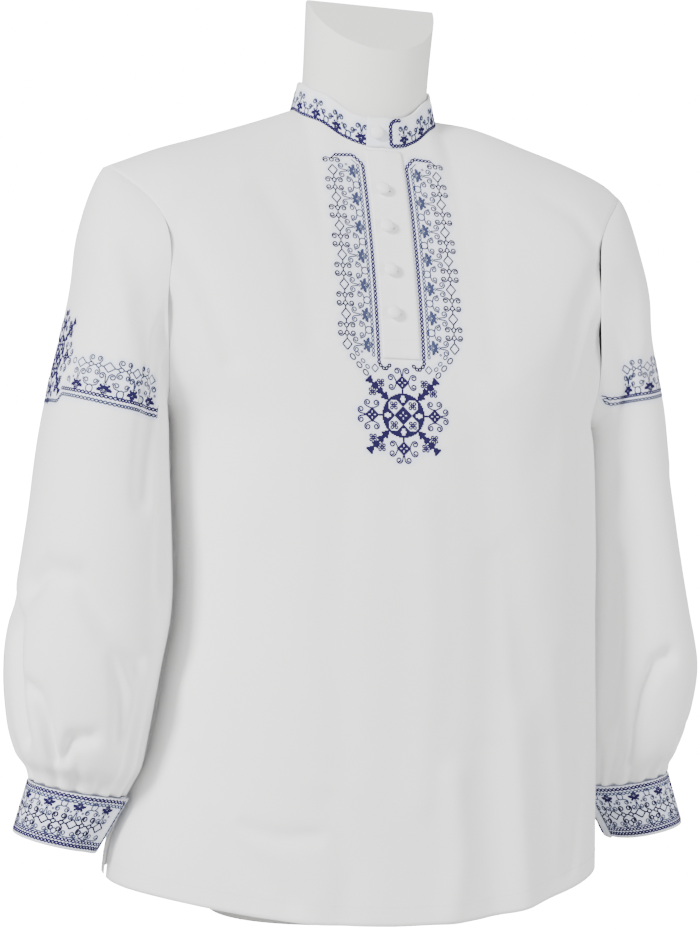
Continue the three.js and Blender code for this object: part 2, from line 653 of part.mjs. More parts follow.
// A ring of the torso: free and round at the waist, and just under the cloth at the shoulders.
function torsoRing(row) {
  const ring = [];
  for (let k = 0; k < FORM_SIDES; k += 1) {
    const angle = (2 * Math.PI * k) / FORM_SIDES - Math.PI / 2;
    const face = Math.cos(angle) > 0 ? FRONT : BACK;
    const x = row.half * Math.sin(angle);
    const end = (1 - Math.abs(Math.sin(angle)) ** row.round) ** (1 / FORM_EDGE);
    const cloth = faceY(face, x, row.z + SHOULDER_CLEARANCE) - face * SHOULDER_CLEARANCE;
    const free = face * (face === FRONT ? row.front : row.back);
    const spine = ridge(face, x).y * row.fit;
    ring.push(new THREE.Vector3(x, spine + (lerp(free, cloth, row.fit) - spine) * end, row.z));
  }
  return ring;
}

function neckRing(row) {
  const ring = [];
  for (let k = 0; k < FORM_SIDES; k += 1) {
    const angle = (2 * Math.PI * k) / FORM_SIDES;
    ring.push(new THREE.Vector3(row.side * Math.cos(angle), row.y + row.depth * Math.sin(angle), row.z));
  }
  return ring;
}

function form() {
  const torso = solid(loft(FORM.map(torsoRing)));
  const middle = along(NECK_COLUMN, "z", "y", NECK_TOP);
  let neck = solid(loft(NECK_COLUMN.map(neckRing)));
  for (const slope of [0, NECK_SLOPE]) {
    const cut = new THREE.BoxGeometry(NECK_CUTTER, NECK_CUTTER, NECK_CUTTER);
    cut.deleteAttribute("normal").deleteAttribute("uv");
    cut.translate(0, 0, NECK_CUTTER / 2).rotateX(slope).translate(0, middle, NECK_TOP);
    neck = neck.subtract(solid(cut));
  }
  const material = new THREE.MeshStandardMaterial({ color: 0xd6d6d3, roughness: 0.6, metalness: 0 });
  return part("form", geometryOf(torso.add(neck)), material);
}

const shirt = new THREE.Group();
shirt.add(
  panel("shirt_front", FRONT),
  panel("shirt_back", BACK),
  sleeve("sleeve_left", -1, LEFT_SLEEVE),
  sleeve("sleeve_right", 1, RIGHT_SLEEVE),
  cuff("cuff_left", -1, CUFFS.left),
  cuff("cuff_right", 1, CUFFS.right),
  collar(),
  placket(),
  collarButton(),
  ...BUTTON_HEIGHTS.map(placketButton),
  form(),
);

export default shirt;
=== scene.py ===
# %% An embroidered folk shirt on a torso form
import bisect
import math
import random

import bmesh
import bpy
from mathutils import Matrix, Vector, noise
from mathutils.bvhtree import BVHTree
from mathutils.kdtree import KDTree


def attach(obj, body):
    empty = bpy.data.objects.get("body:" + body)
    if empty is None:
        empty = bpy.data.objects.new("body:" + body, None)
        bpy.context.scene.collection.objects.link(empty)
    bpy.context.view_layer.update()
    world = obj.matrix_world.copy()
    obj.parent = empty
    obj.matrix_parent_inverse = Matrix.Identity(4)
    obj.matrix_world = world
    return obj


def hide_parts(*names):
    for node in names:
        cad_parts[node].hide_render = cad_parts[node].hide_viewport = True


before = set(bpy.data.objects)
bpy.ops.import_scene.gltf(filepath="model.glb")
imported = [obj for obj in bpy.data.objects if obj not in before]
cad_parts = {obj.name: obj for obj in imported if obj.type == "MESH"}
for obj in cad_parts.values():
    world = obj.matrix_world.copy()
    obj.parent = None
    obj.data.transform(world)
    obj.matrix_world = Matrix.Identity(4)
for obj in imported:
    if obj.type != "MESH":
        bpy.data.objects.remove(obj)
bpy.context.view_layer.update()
MM = 0.001

# %% [markdown]
# The shirt is white cotton: a front, a back, two full sleeves gathered into cuffs, a low standing collar
# and a narrow placket with covered buttons. It hangs on a smooth torso form.
#
# A garment like this is easiest to describe as a few curved surfaces. A surface here is a small function:
# it takes a place on the cloth and gives a point in space. The numbers that steer it stand in short tables,
# one row per height or per share of the way, and a smooth curve runs through the rows. The same surfaces
# were used for the solid pieces that carry this model, so everything made here lies on them.

# %% Tables that give the garment its shape, in mm
ARMPIT = 458.0
ROUNDNESS = 2.3
BACK_SPRING = 560.0
CHEST_SPRING = (400.0, 540.0)
CHEST_POWER = (1.4, 1.85)
BACK_POWER = (2.8, 2.2)
SIDE_REACH = 200.0
FRONT, BACK = -1, 1
# z, left half-width, right half-width, front depth, back depth
BODY = [
    (0, 231, 238, 144, 134),
    (64, 226, 237, 142, 132),
    (110, 208, 236, 141, 131),
    (150, 193, 235, 140, 130),
    (222, 181, 232, 138, 129),
    (275, 174, 230, 136, 128),
    (330, 175, 229, 133, 129),
    (402, 181, 226, 127, 131),
    (440, 184, 223, 124, 132),
    (ARMPIT, 190, 220, 123, 133),
    (490, 214, 230, 121, 134),
    (530, 240, 246, 120, 134),
    (620, 272, 272, 118, 134),
    (780, 300, 300, 118, 134),
]
# distance from the middle, y, height on the left, height on the right
RIDGE = [
    (70, 38, 742, 742),
    (108, 33, 727, 737),
    (160, 27, 708, 720),
    (200, 21, 694, 706),
    (235, 16, 679, 691),
    (252, 14, 671, 678),
    (300, 14, 640, 645),
]
# distance from the middle, height over the front, height over the back
NECK_CROWN = [(0, 786, 775), (35, 765, 766), (52, 757, 756), (66, 744, 745), (70, 742, 742)]
NECK_SIDE, NECK_FRONT, NECK_BACK, NECK_Y = 70.0, 67.0, 62.0, 38.0
SHOULDER_END = 250.0
# share of the armhole's height, distance from the middle on the left, on the right
ARMHOLE = [
    (0, 190, 220),
    (0.2, 199, 212),
    (0.43, 204, 204),
    (0.62, 203, 202),
    (0.76, 208, 206),
    (0.86, 221, 219),
    (0.94, 237, 236),
    (1, 250, 250),
]
# share of the way from the middle to the side, height of the hem on the left, on the right
HEM = [
    (0, 12, 12),
    (0.25, 15, 13),
    (0.42, 20, 16.5),
    (0.58, 24, 23),
    (0.75, 29, 30),
    (0.87, 31.5, 35),
    (1, 33, 40),
]
SLIT_TOP, SLIT_FOOT, SLIT_SPREAD = 110.0, 34.0, 7.0

# the largest folds: places (x, z) along each, depth and half-width; ridges have a negative depth
FRONT_FOLDS = [
    ([(60, 489), (86, 331)], 3, 24),
    ([(86, 331), (87, 163)], 4.5, 22),
    ([(87, 163), (102, 0)], 6, 22),
    ([(95, 341), (138, 163)], 3.5, 22),
    ([(138, 163), (158, 40)], 5, 22),
    ([(122, 190), (128, 0)], -4, 20),
    ([(-215, 100), (-140, 25)], 5, 22),
    ([(-180, 60), (-110, 0)], -4, 22),
    ([(-120, 330), (-150, 130)], 2.5, 22),
    ([(-196, 570), (-140, 440)], 3, 26),
    ([(196, 560), (150, 430)], 3.5, 26),
]
BACK_FOLDS = [
    ([(-62, 430), (-78, 0)], 5, 20),
    ([(-20, 330), (-12, 0)], -4, 20),
    ([(66, 460), (52, 0)], 5.5, 18),
    ([(140, 350), (150, 0)], 6, 19),
    ([(-150, 330), (-160, 20)], 5, 18),
    ([(-198, 575), (-120, 470)], 4, 16),
    ([(198, 575), (125, 465)], 4, 16),
]

# share of the sleeve, outer x and z, inner x and z, front y, back y
LEFT_SLEEVE = [
    (0, 250, 669, 190, 458, -78, 93),
    (0.07, 264, 650, 191, 455.5, -84, 94),
    (0.16, 272, 615, 191, 452, -88, 92),
    (0.26, 277, 560, 190.5, 448, -90, 88),
    (0.36, 286, 512, 190, 443, -92, 84),
    (0.42, 295, 474, 189.5, 437, -93, 80),
    (0.52, 304, 420, 188, 402, -94, 76),
    (0.62, 311, 350, 184, 340, -97, 80),
    (0.72, 319, 285, 182, 275, -98, 84),
    (0.8, 326, 230, 189, 222, -97, 84),
    (0.88, 323, 175, 197, 168, -88, 76),
    (0.93, 315, 147, 202, 136, -76, 62),
    (0.97, 305, 133, 209, 119, -57, 42),
    (1, 302, 123, 214, 108, -49, 33),
]
RIGHT_SLEEVE = [
    (0, 250, 678, 220, 458, -78, 93),
    (0.07, 263, 659, 225, 455.5, -76, 98),
    (0.16, 272, 615, 228, 452, -68, 104),
    (0.26, 282, 560, 229, 448, -58, 110),
    (0.36, 295, 512, 230, 443, -52, 114),
    (0.42, 305, 474, 230, 437, -50, 115),
    (0.52, 315, 420, 231, 402, -48, 114),
    (0.62, 328, 350, 232, 340, -50, 118),
    (0.72, 342, 285, 234, 280, -54, 120),
    (0.8, 353, 230, 235, 225, -55, 118),
    (0.88, 348, 175, 238, 170, -46, 108),
    (0.93, 341, 147, 242, 138, -36, 96),
    (0.97, 335, 128, 246, 114, -18, 81),
    (1, 335, 118, 248, 103, -9, 72),
]
SLEEVE_ROUNDNESS = 2.2
CAP_BLEND = 0.2
# top and foot of the cuffs: outer x and z, inner x and z, front y, back y
LEFT_CUFF = [(302, 121.5, 214, 106.5, -49, 33), (314, 76, 241.5, 59, -45, 29)]
RIGHT_CUFF = [(335, 116.5, 248, 101.5, -9, 72), (352, 67, 278, 51, -5, 68)]
CUFF_END, CUFF_LAP = math.radians(168), math.radians(22)
COLLAR_FOOT, COLLAR_HEIGHT, COLLAR_SIDE, COLLAR_DEPTH = -1.0, 27.0, 0.91, 0.93
COLLAR_UNDER, COLLAR_OVER = math.radians(7), math.radians(-12.5)
PLACKET_HALF, PLACKET_TOP, PLACKET_FOOT = 17.5, 699.0, 506.0
BUTTON_X, BUTTON_HEIGHTS, BUTTON_RADIUS, BUTTON_FLATNESS = -6.5, (660, 625, 585, 546), 6.4, 0.6
CLOTH, BAND, LAYER = 1.5, 2.2, 0.5  # thickness of cloth and band, and the gap between layers
print("tables ready:", len(BODY), "rows for the body,", len(LEFT_SLEEVE), "for a sleeve")

# %% [markdown]
# A smooth curve through a table's rows makes the cloth swell and narrow softly, like cloth does, instead of
# in straight steps.

# %% Curves through the tables
def lerp(a, b, t):
    return a + (b - a) * t


def clamp(value, low=0.0, high=1.0):
    return min(max(value, low), high)


def smooth(value, low, high):
    t = clamp((value - low) / (high - low))
    return t * t * (3 - 2 * t)


def signed_power(value, exponent):
    return math.copysign(abs(value) ** exponent, value)


def along(rows, at, column):
    last = len(rows) - 1
    if at <= rows[0][0]:
        return rows[0][column]
    if at >= rows[last][0]:
        return rows[last][column]
    i = next(k for k in range(last) if rows[k + 1][0] > at)

    def slope(k):
        a, b = rows[max(k - 1, 0)], rows[min(k + 1, last)]
        return (b[column] - a[column]) / (b[0] - a[0])

    step = rows[i + 1][0] - rows[i][0]
    t = (at - rows[i][0]) / step
    ends = lerp(rows[i][column], rows[i + 1][column], t * t * (3 - 2 * t))
    return ends + t * (1 - t) * step * ((1 - t) * slope(i) - t * slope(i + 1))


print("half-width of the body at z 300:", round(along(BODY, 300, 1), 1), "and", round(along(BODY, 300, 2), 1))

# %% [markdown]
# The body's section is a rounded oval. Above the chest the front and the back lean in towards the line over
# the shoulders. Folds are pressed into that surface: each is a soft trough along a straight run, deepest in
# its middle, and it fades where the cloth is held at the side seams or lies flat on the shoulders.

# %% The surface of the body
def half_width(x, z):
    return along(BODY, z, 1 if x < 0 else 2)


def ridge(face, x):
    out = abs(x)
    y = along(RIDGE, out, 1)
    if out < NECK_SIDE:
        return y, along(NECK_CROWN, out, 1 if face == FRONT else 2)
    return y, along(RIDGE, out, 2 if x < 0 else 3)


def crease_depth(creases, a, b, scale=1.0):
    trough, crest = 0.0, 0.0
    for places, depth, width in creases:
        nearest = 1e9
        for (a0, b0), (a1, b1) in zip(places, places[1:]):
            run_a, run_b = (a1 - a0) * scale, b1 - b0
            gap_a, gap_b = (a - a0) * scale, b - b0
            share = clamp((gap_a * run_a + gap_b * run_b) / (run_a**2 + run_b**2))
            nearest = min(nearest, math.hypot(gap_a - run_a * share, gap_b - run_b * share))
        if nearest < 3 * width:
            pressed = depth * math.exp(-((nearest / width) ** 2))
            trough, crest = max(trough, pressed), min(crest, pressed)
    return trough + crest


def face_y(face, x, z):
    side = min(abs(x) / SIDE_REACH, 1)
    top_y, top_z = ridge(face, x)
    chest = lerp(*CHEST_SPRING, smooth(side, 0, 1))
    spring = chest if face == FRONT else BACK_SPRING
    depth = along(BODY, min(z, spring), 3 if face == FRONT else 4)
    across = min(abs(x) / half_width(x, z), 1)
    flat = face * depth * (1 - across**ROUNDNESS) ** (1 / ROUNDNESS)
    if z <= spring:
        return flat
    power = lerp(*(CHEST_POWER if face == FRONT else BACK_POWER), side)
    rise = min((z - spring) / (top_z - spring), 1)
    return top_y + (flat - top_y) * (1 - rise**power) ** (1 / power)


def panel_point(face, x, z):
    folds = FRONT_FOLDS if face == FRONT else BACK_FOLDS
    across = abs(x) / half_width(x, z)
    fade = (1 - smooth(z, 560, 640)) * (1 - smooth(across, 0.82, 1))
    return Vector((x, face_y(face, x, z) - face * crease_depth(folds, x, z) * fade, z))


def neck_point(face, angle):
    x = NECK_SIDE * math.sin(angle)
    y = NECK_Y + face * (NECK_FRONT if face == FRONT else NECK_BACK) * math.cos(angle)
    low, high = 600.0, ridge(face, x)[1]
    for _ in range(30):
        middle = (low + high) / 2
        if face * (face_y(face, x, middle) - y) > 0:
            low = middle
        else:
            high = middle
    return Vector((x, y, (low + high) / 2))


def armhole_point(side, face, rise):
    x = side * along(ARMHOLE, rise, 1 if side < 0 else 2)
    return panel_point(face, x, lerp(ARMPIT, ridge(face, side * SHOULDER_END)[1], rise))


NECK_SHARE = 12 / 26


def top_edge(face, u):
    if abs(u) <= NECK_SHARE + 1e-6:
        return neck_point(face, u / NECK_SHARE * math.pi / 2)
    out = (abs(u) - NECK_SHARE) / (1 - NECK_SHARE)
    x = math.copysign(lerp(NECK_SIDE, SHOULDER_END, out), u)
    return Vector((x, *ridge(face, x)))


def lower_point(face, u, v):
    angle = u * math.pi / 2
    hem = along(HEM, abs(math.sin(angle)), 1 if u < 0 else 2)
    z = lerp(hem, ARMPIT, v)
    point = panel_point(face, half_width(u, z) * signed_power(math.sin(angle), 2 / ROUNDNESS), z)
    opened = smooth(SLIT_TOP - z, 0, SLIT_TOP - SLIT_FOOT)
    point.y += face * SLIT_SPREAD * opened * abs(u) ** 8
    return point


def upper_point(face, u, rise, top):
    start = half_width(u, ARMPIT) * signed_power(math.sin(u * math.pi / 2), 2 / ROUNDNESS)
    side = -1 if u < 0 else 1
    seam = along(ARMHOLE, rise, 1 if side < 0 else 2)
    bulge = seam - lerp(half_width(side, ARMPIT), SHOULDER_END, rise)
    x = lerp(start, top.x, rise) + side * bulge * abs(u) ** 3
    return top.copy() if rise >= 1 else panel_point(face, x, lerp(ARMPIT, top.z, rise))


print("middle of the front at z 300:", [round(v, 1) for v in panel_point(FRONT, 0, 300)])

# %% [markdown]
# Each sleeve is a row of slanting ovals from the armhole to the cuff. At the top the ovals blend into the
# armhole's own line. The cuffs and the collar are bands that go once round and lap over themselves, so the
# outer end has to stand off by the thickness of the band below it.

# %% The surfaces of the sleeves, cuffs and collar
def ring_point(side, ring, angle):
    out_x, out_z, in_x, in_z, front, back = ring
    across = signed_power(math.cos(angle), 2 / SLEEVE_ROUNDNESS)
    round_ = signed_power(math.sin(angle), 2 / SLEEVE_ROUNDNESS)
    x = (out_x + in_x) / 2 + (out_x - in_x) / 2 * across
    z = (out_z + in_z) / 2 + (out_z - in_z) / 2 * across
    return Vector((side * x, (front + back) / 2 - (back - front) / 2 * round_, z))


def sleeve_point(side, rows, angle, share):
    ring = [along(rows, share, column) for column in range(1, 7)]
    free = ring_point(side, ring, angle)
    blend = smooth(share, 0, CAP_BLEND)
    if blend >= 1:
        return free
    seam = armhole_point(side, FRONT if math.sin(angle) > 0 else BACK, (1 + math.cos(angle)) / 2)
    seam.x += side * 0.3
    return seam.lerp(free, blend)


def cuff_point(side, rings, angle, rise):
    top, foot = rings
    return ring_point(side, [lerp(a, b, rise) for a, b in zip(foot, top)], angle)


def collar_point(angle, rise):
    turn = math.atan2(math.sin(angle), math.cos(angle))
    if abs(turn) <= math.pi / 2:
        base = neck_point(FRONT, turn)
    else:
        base = neck_point(BACK, math.copysign(math.pi - abs(turn), turn))
    top = Vector((
        base.x * COLLAR_SIDE,
        NECK_Y + (base.y - NECK_Y) * COLLAR_DEPTH,
        base.z + COLLAR_HEIGHT,
    ))
    base.z += COLLAR_FOOT
    return base.lerp(top, rise)


print("collar's foot at the front:", [round(v, 1) for v in collar_point(0, 0)])

# %% [markdown]
# Worn cotton is never as smooth as its pattern. Small creases run from the armholes, ripple towards the hem
# and break at the elbows. Each crease here is a short line of places with a depth and a half-width; where
# two meet, the deeper one wins, so they never add up to a hard notch. A slow noise, the same every time the
# file runs, keeps the cloth between them from looking machined.

# %% Small creases
# places (x, z) on the panels; depth and half-width in mm
FRONT_CREASES = [
    ([(-200, 606), (-176, 566), (-150, 500)], 1.8, 11),
    ([(-202, 545), (-170, 480), (-150, 400)], 2.0, 12),
    ([(-170, 470), (-162, 360), (-168, 250)], 1.8, 13),
    ([(200, 602), (178, 560), (166, 500)], 1.8, 11),
    ([(206, 540), (186, 470), (180, 380)], 2.2, 12),
    ([(196, 420), (190, 300), (196, 160)], 2.4, 14),
    ([(-52, 395), (-60, 270), (-48, 150)], 1.0, 16),
    ([(18, 380), (26, 260), (20, 120)], -1.0, 16),
    ([(-134, 96), (-104, 88), (-68, 90)], 1.8, 8),
    ([(-172, 150), (-140, 84), (-92, 34)], 2.0, 11),
    ([(-60, 120), (-40, 60), (-46, 20)], 1.2, 14),
    ([(52, 140), (60, 70), (54, 20)], -1.6, 13),
    ([(172, 240), (186, 120), (182, 50)], 2.4, 10),
    ([(-120, 660), (-90, 600), (-84, 520)], 1.0, 14),
    ([(96, 650), (84, 590), (88, 500)], 1.2, 14),
    ([(150, 668), (182, 646), (206, 610)], 1.2, 10),
    ([(-148, 662), (-184, 640), (-206, 606)], 1.0, 10),
]
BACK_CREASES = [
    ([(-196, 600), (-160, 540), (-140, 440)], 1.8, 12),
    ([(196, 600), (164, 536), (150, 440)], 1.8, 12),
    ([(-100, 620), (-40, 600), (30, 612), (96, 622)], 1.4, 13),
    ([(-20, 300), (-30, 160), (-22, 40)], 1.6, 13),
    ([(96, 380), (104, 220), (92, 60)], -1.6, 13),
    ([(-118, 360), (-112, 200), (-124, 50)], -1.8, 13),
    ([(12, 460), (16, 330), (30, 200)], 1.4, 14),
    ([(170, 200), (176, 110), (170, 40)], 2.0, 10),
]
# places (degrees round by the front from the outside, z) on the sleeves
LEFT_ARM_CREASES = [
    ([(24, 296), (40, 310), (66, 306), (94, 262), (120, 232)], 3.6, 13),
    ([(-14, 280), (16, 262), (24, 220), (32, 166)], 3.0, 9),
    ([(33, 212), (47, 206), (55, 178), (61, 150)], 3.0, 7),
    ([(70, 152), (76, 168), (90, 170)], 3.0, 7),
    ([(110, 560), (116, 470), (112, 380)], 3.0, 15),
    ([(126, 520), (138, 420), (134, 300)], 2.6, 12),
    ([(99, 505), (101, 480), (103, 455)], 1.6, 4),
    ([(96, 250), (108, 205), (112, 170)], 2.0, 9),
    ([(60, 600), (84, 560), (104, 500)], 1.8, 14),
    ([(-60, 330), (-84, 296), (-110, 300)], 3.2, 12),
    ([(-70, 250), (-96, 214), (-118, 176)], 2.6, 10),
    ([(-50, 560), (-80, 480), (-100, 400)], 2.4, 15),
]
RIGHT_ARM_CREASES = [
    ([(42, 400), (42, 327), (36, 252), (24, 206)], 3.0, 10),
    ([(88, 238), (100, 230), (108, 202), (111, 170), (110, 132)], 3.2, 8),
    ([(24, 192), (44, 160), (62, 128)], 3.0, 8),
    ([(128, 330), (132, 250), (138, 180)], 3.0, 12),
    ([(100, 560), (116, 480), (128, 400)], 2.4, 14),
    ([(70, 600), (92, 560), (106, 500)], 1.6, 13),
    ([(-60, 330), (-86, 296), (-112, 306)], 3.2, 12),
    ([(-70, 240), (-98, 206), (-120, 170)], 2.6, 10),
    ([(-54, 560), (-84, 480), (-104, 400)], 2.4, 15),
]
DEGREE = 1.45  # mm of sleeve to a degree
GATHERS, GATHER_DEPTH = 16, 5.0
SEAM_GAP = 0.15  # mm by which a sewn edge stands back from its seam
BODY_CREASING, SLEEVE_CREASING = 2.8, 3.1  # how strongly the creases are pressed


def unevenness(x, y, z, size, depth):
    return depth * noise.noise(Vector((x / size, y / size, z / (2.2 * size))))


def panel_creased(face, point):
    across = abs(point.x) / half_width(point.x, point.z)
    free = (1 - smooth(across, 0.86, 1)) * (1 - smooth(point.z, 640, 690))
    band = smooth(abs(point.x), 22, 60) if face == FRONT and point.z > 480 else 1
    pressed = crease_depth(FRONT_CREASES if face == FRONT else BACK_CREASES, point.x, point.z)
    pressed *= BODY_CREASING
    pressed += unevenness(point.x, face * 100, point.z, 46, 0.9)
    moved = point.copy()
    moved.y -= face * pressed * free * band
    return moved


GATHER_PHASES = [random.Random(7).uniform(-0.5, 0.5) for _ in range(GATHERS + 1)]


def gather_depth(side, angle, share):
    # gathers of uneven width and length, all running down into the cuff
    turn = (angle / (2 * math.pi)) % 1 * GATHERS
    k = int(turn)
    phase = turn + 0.35 * lerp(GATHER_PHASES[k], GATHER_PHASES[(k + 1) % GATHERS], turn - k)
    reach = 0.83 + 0.05 * math.sin(5.1 * angle + side) + 0.02 * math.sin(11 * angle)
    pressed = 0.5 - 0.5 * math.cos(2 * math.pi * phase)
    return GATHER_DEPTH * smooth(share, reach, reach + 0.13) * pressed**1.4


def sleeve_creased(side, rows, angle, share):
    ring = [along(rows, share, column) for column in range(1, 7)]
    point = sleeve_point(side, rows, angle, share)
    centre = Vector((
        side * (ring[0] + ring[2]) / 2,
        (ring[4] + ring[5]) / 2,
        (ring[1] + ring[3]) / 2,
    ))
    turn = math.degrees(math.atan2(math.sin(angle), math.cos(angle)))
    creases = LEFT_ARM_CREASES if side < 0 else RIGHT_ARM_CREASES
    pressed = SLEEVE_CREASING * crease_depth(creases, turn, point.z, DEGREE)
    pressed += unevenness(point.x, point.y, point.z, 40, 1.2)
    pressed *= smooth(share, 0.02, 0.14) * (1 - smooth(share, 0.93, 0.99))
    pressed += gather_depth(side, angle, share)
    return point + (centre - point).normalized() * pressed


print("creases:", len(FRONT_CREASES) + len(BACK_CREASES), "on the body,",
      len(LEFT_ARM_CREASES) + len(RIGHT_ARM_CREASES), "on the sleeves")

# %% [markdown]
# Cloth is made as a sheet: Blender's grid operator gives an even mesh, and each of its points is then moved
# to its place on a surface. The grid's own two directions become the texture coordinates, in metres, so a
# weave drawn on them keeps its real size. A tube is a grid whose two ends are merged. Last, a Solidify
# modifier gives the sheet the thickness of the cloth, inwards, so that the outside stays where it was put.

# %% Making a sheet of cloth
SHEETS = {}


def put_in_scene(name, data):
    made = bpy.data.objects.new(name, data)
    bpy.context.collection.objects.link(made)
    return made


def to_mesh(shape, name):
    mesh = bpy.data.meshes.new(name)
    shape.to_mesh(mesh)
    shape.free()
    return mesh


def make_sheet(name, columns, rows, place, size, thickness=1.0, closed=False):
    shape = bmesh.new()
    uv = shape.loops.layers.uv.new("UVMap")
    bmesh.ops.create_grid(shape, x_segments=columns, y_segments=rows, size=1)
    for f in shape.faces:
        for loop in f.loops:
            s, t = (loop.vert.co.x + 1) / 2, (loop.vert.co.y + 1) / 2
            loop[uv].uv = (s * size[0] * MM, t * size[1] * MM)
    points = {}
    for v in shape.verts:
        column, row = round((v.co.x + 1) / 2 * columns), round((v.co.y + 1) / 2 * rows)
        v.co = place(column / columns, row / rows) * MM
        points[column, row] = v.co.copy()
    if closed:
        bmesh.ops.remove_doubles(shape, verts=shape.verts, dist=1e-6)
    mesh = to_mesh(shape, name)
    mesh.shade_smooth()
    cloth = put_in_scene(name, mesh)
    thick = cloth.modifiers.new("thickness", "SOLIDIFY")
    thick.thickness = thickness * MM
    thick.offset = -1
    SHEETS[name] = (points, columns, rows)
    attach(cloth, "root")
    area = sum(p.area for p in mesh.polygons)
    print(name, "sheet:", len(mesh.polygons), "faces,", round(area, 4), "square metres")
    return cloth


# %% [markdown]
# The front and the back are each cut on the fold as one piece. Their side edges leave the seam open at the
# foot, as a short slit, and stand a hair apart where they are sewn, so that the seams read as fine lines.

# %% Front and back panels
COLUMNS, ROWS = 150, 190
ARMPIT_SHARE = 0.56


def panel_place(face):
    tops = {}

    def place(s, t):
        u = -face * (2 * s - 1)
        if t < ARMPIT_SHARE:
            point = lower_point(face, u, t / ARMPIT_SHARE)
        else:
            if u not in tops:
                tops[u] = top_edge(face, u)
            share = (t - ARMPIT_SHARE) / (1 - ARMPIT_SHARE)
            point = upper_point(face, u, (1 - math.cos(math.pi * share)) / 2, tops[u])
        point = panel_creased(face, point)
        if s in (0, 1) or (t == 1 and abs(u) > NECK_SHARE):
            point.y += face * SEAM_GAP
        return point

    return place


front = make_sheet("front_cloth", COLUMNS, ROWS, panel_place(FRONT), (580, 780))
back = make_sheet("back_cloth", COLUMNS, ROWS, panel_place(BACK), (580, 790))
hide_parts("shirt_front")
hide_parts("shirt_back")

# %% [markdown]
# The sleeves are tubes. Their tops follow the armhole, and the foot of each is drawn together into sixteen
# uneven gathers where it enters the cuff.

# %% Sleeves
SIDES = {"left": (-1, LEFT_SLEEVE, LEFT_CUFF), "right": (1, RIGHT_SLEEVE, RIGHT_CUFF)}
sleeves, cuffs = {}, {}
for hand, (side, rows, _) in SIDES.items():

    def place(s, t, side=side, rows=rows):
        return sleeve_creased(side, rows, -side * 2 * math.pi * s, 1 - t)

    sleeves[hand] = make_sheet(f"sleeve_cloth_{hand}", 144, 150, place, (500, 560), closed=True)
    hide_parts(f"sleeve_{hand}")

# %% [markdown]
# A cuff is a straight band of doubled cloth. It laps over itself at the back of the wrist: the outer end is
# lifted by the band's thickness, and the lift dies out over the next part of the turn.

# %% Cuffs and collar
def lapped(point, start, end, first_on_top):
    turned = abs(end - start)
    lap = turned - 2 * math.pi

    def place(s, t):
        angle = lerp(start, end, s)
        spot = point(angle, t)
        step = 0.02 * (1 if end > start else -1)
        across = point(angle + step, t) - point(angle - step, t)
        outwards = across.cross(point(angle, 1) - point(angle, 0)).normalized()
        from_upper_end = turned * (s if first_on_top else 1 - s)
        return spot + outwards * (BAND + LAYER) * (1 - smooth(from_upper_end, lap, 2 * lap))

    return place


for hand, (side, _, rings) in SIDES.items():

    def point(angle, rise, side=side, rings=rings):
        return cuff_point(side, rings, angle, rise)

    start, end = CUFF_END + side * CUFF_LAP, CUFF_END - side * 2 * math.pi
    cuffs[hand] = make_sheet(
        f"cuff_cloth_{hand}", 150, 22, lapped(point, start, end, False), (270, 47), thickness=2.0
    )
    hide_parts(f"cuff_{hand}")
collar = make_sheet(
    "collar_cloth", 150, 12, lapped(collar_point, COLLAR_OVER, COLLAR_UNDER + 2 * math.pi, True),
    (430, 27), thickness=2.0,
)
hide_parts("collar")

# %% [markdown]
# The placket is a strip folded over the front opening and stitched down, square at its foot. It is laid a
# little above the panel, on the panel's own curve.

# %% Placket
def front_normal(x, z):
    across = panel_point(FRONT, x + 2, z) - panel_point(FRONT, x - 2, z)
    rise = panel_point(FRONT, x, z + 2) - panel_point(FRONT, x, z - 2)
    return across.cross(rise).normalized()


def placket_place(s, t):
    x = lerp(-PLACKET_HALF, PLACKET_HALF, s)
    z = lerp(PLACKET_FOOT, PLACKET_TOP, t)
    dip = 0.35 * sum(math.exp(-(((z - h) / 7) ** 2 + ((x - BUTTON_X) / 9) ** 2)) for h in BUTTON_HEIGHTS)
    edge = 0.5 * smooth(abs(x), PLACKET_HALF - 2.2, PLACKET_HALF)
    return panel_point(FRONT, x, z) + front_normal(x, z) * (LAYER + CLOTH - dip - edge)


placket = make_sheet("placket_cloth", 28, 96, placket_place, (35, 205))
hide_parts("placket")

# %% [markdown]
# The embroidery is worked in four shades: navy for the medallions and chains, a middle blue for the front's
# flowers, a greyed blue for the fine scrolls, and a dark one for the outer chains. It is charted here as it
# would be on squared paper. A chart is a list of strokes (a thread's line, in mm along and across the band)
# and of filled stitches (one small raised square each). A scroll is a stem that meets a circle along its
# tangent and then winds inwards.

# %% Chart: strokes and stitches
NAVY, BLUE, SLATE, DARK = 0, 1, 2, 3
CELL = 1.0  # a filled stitch, in mm


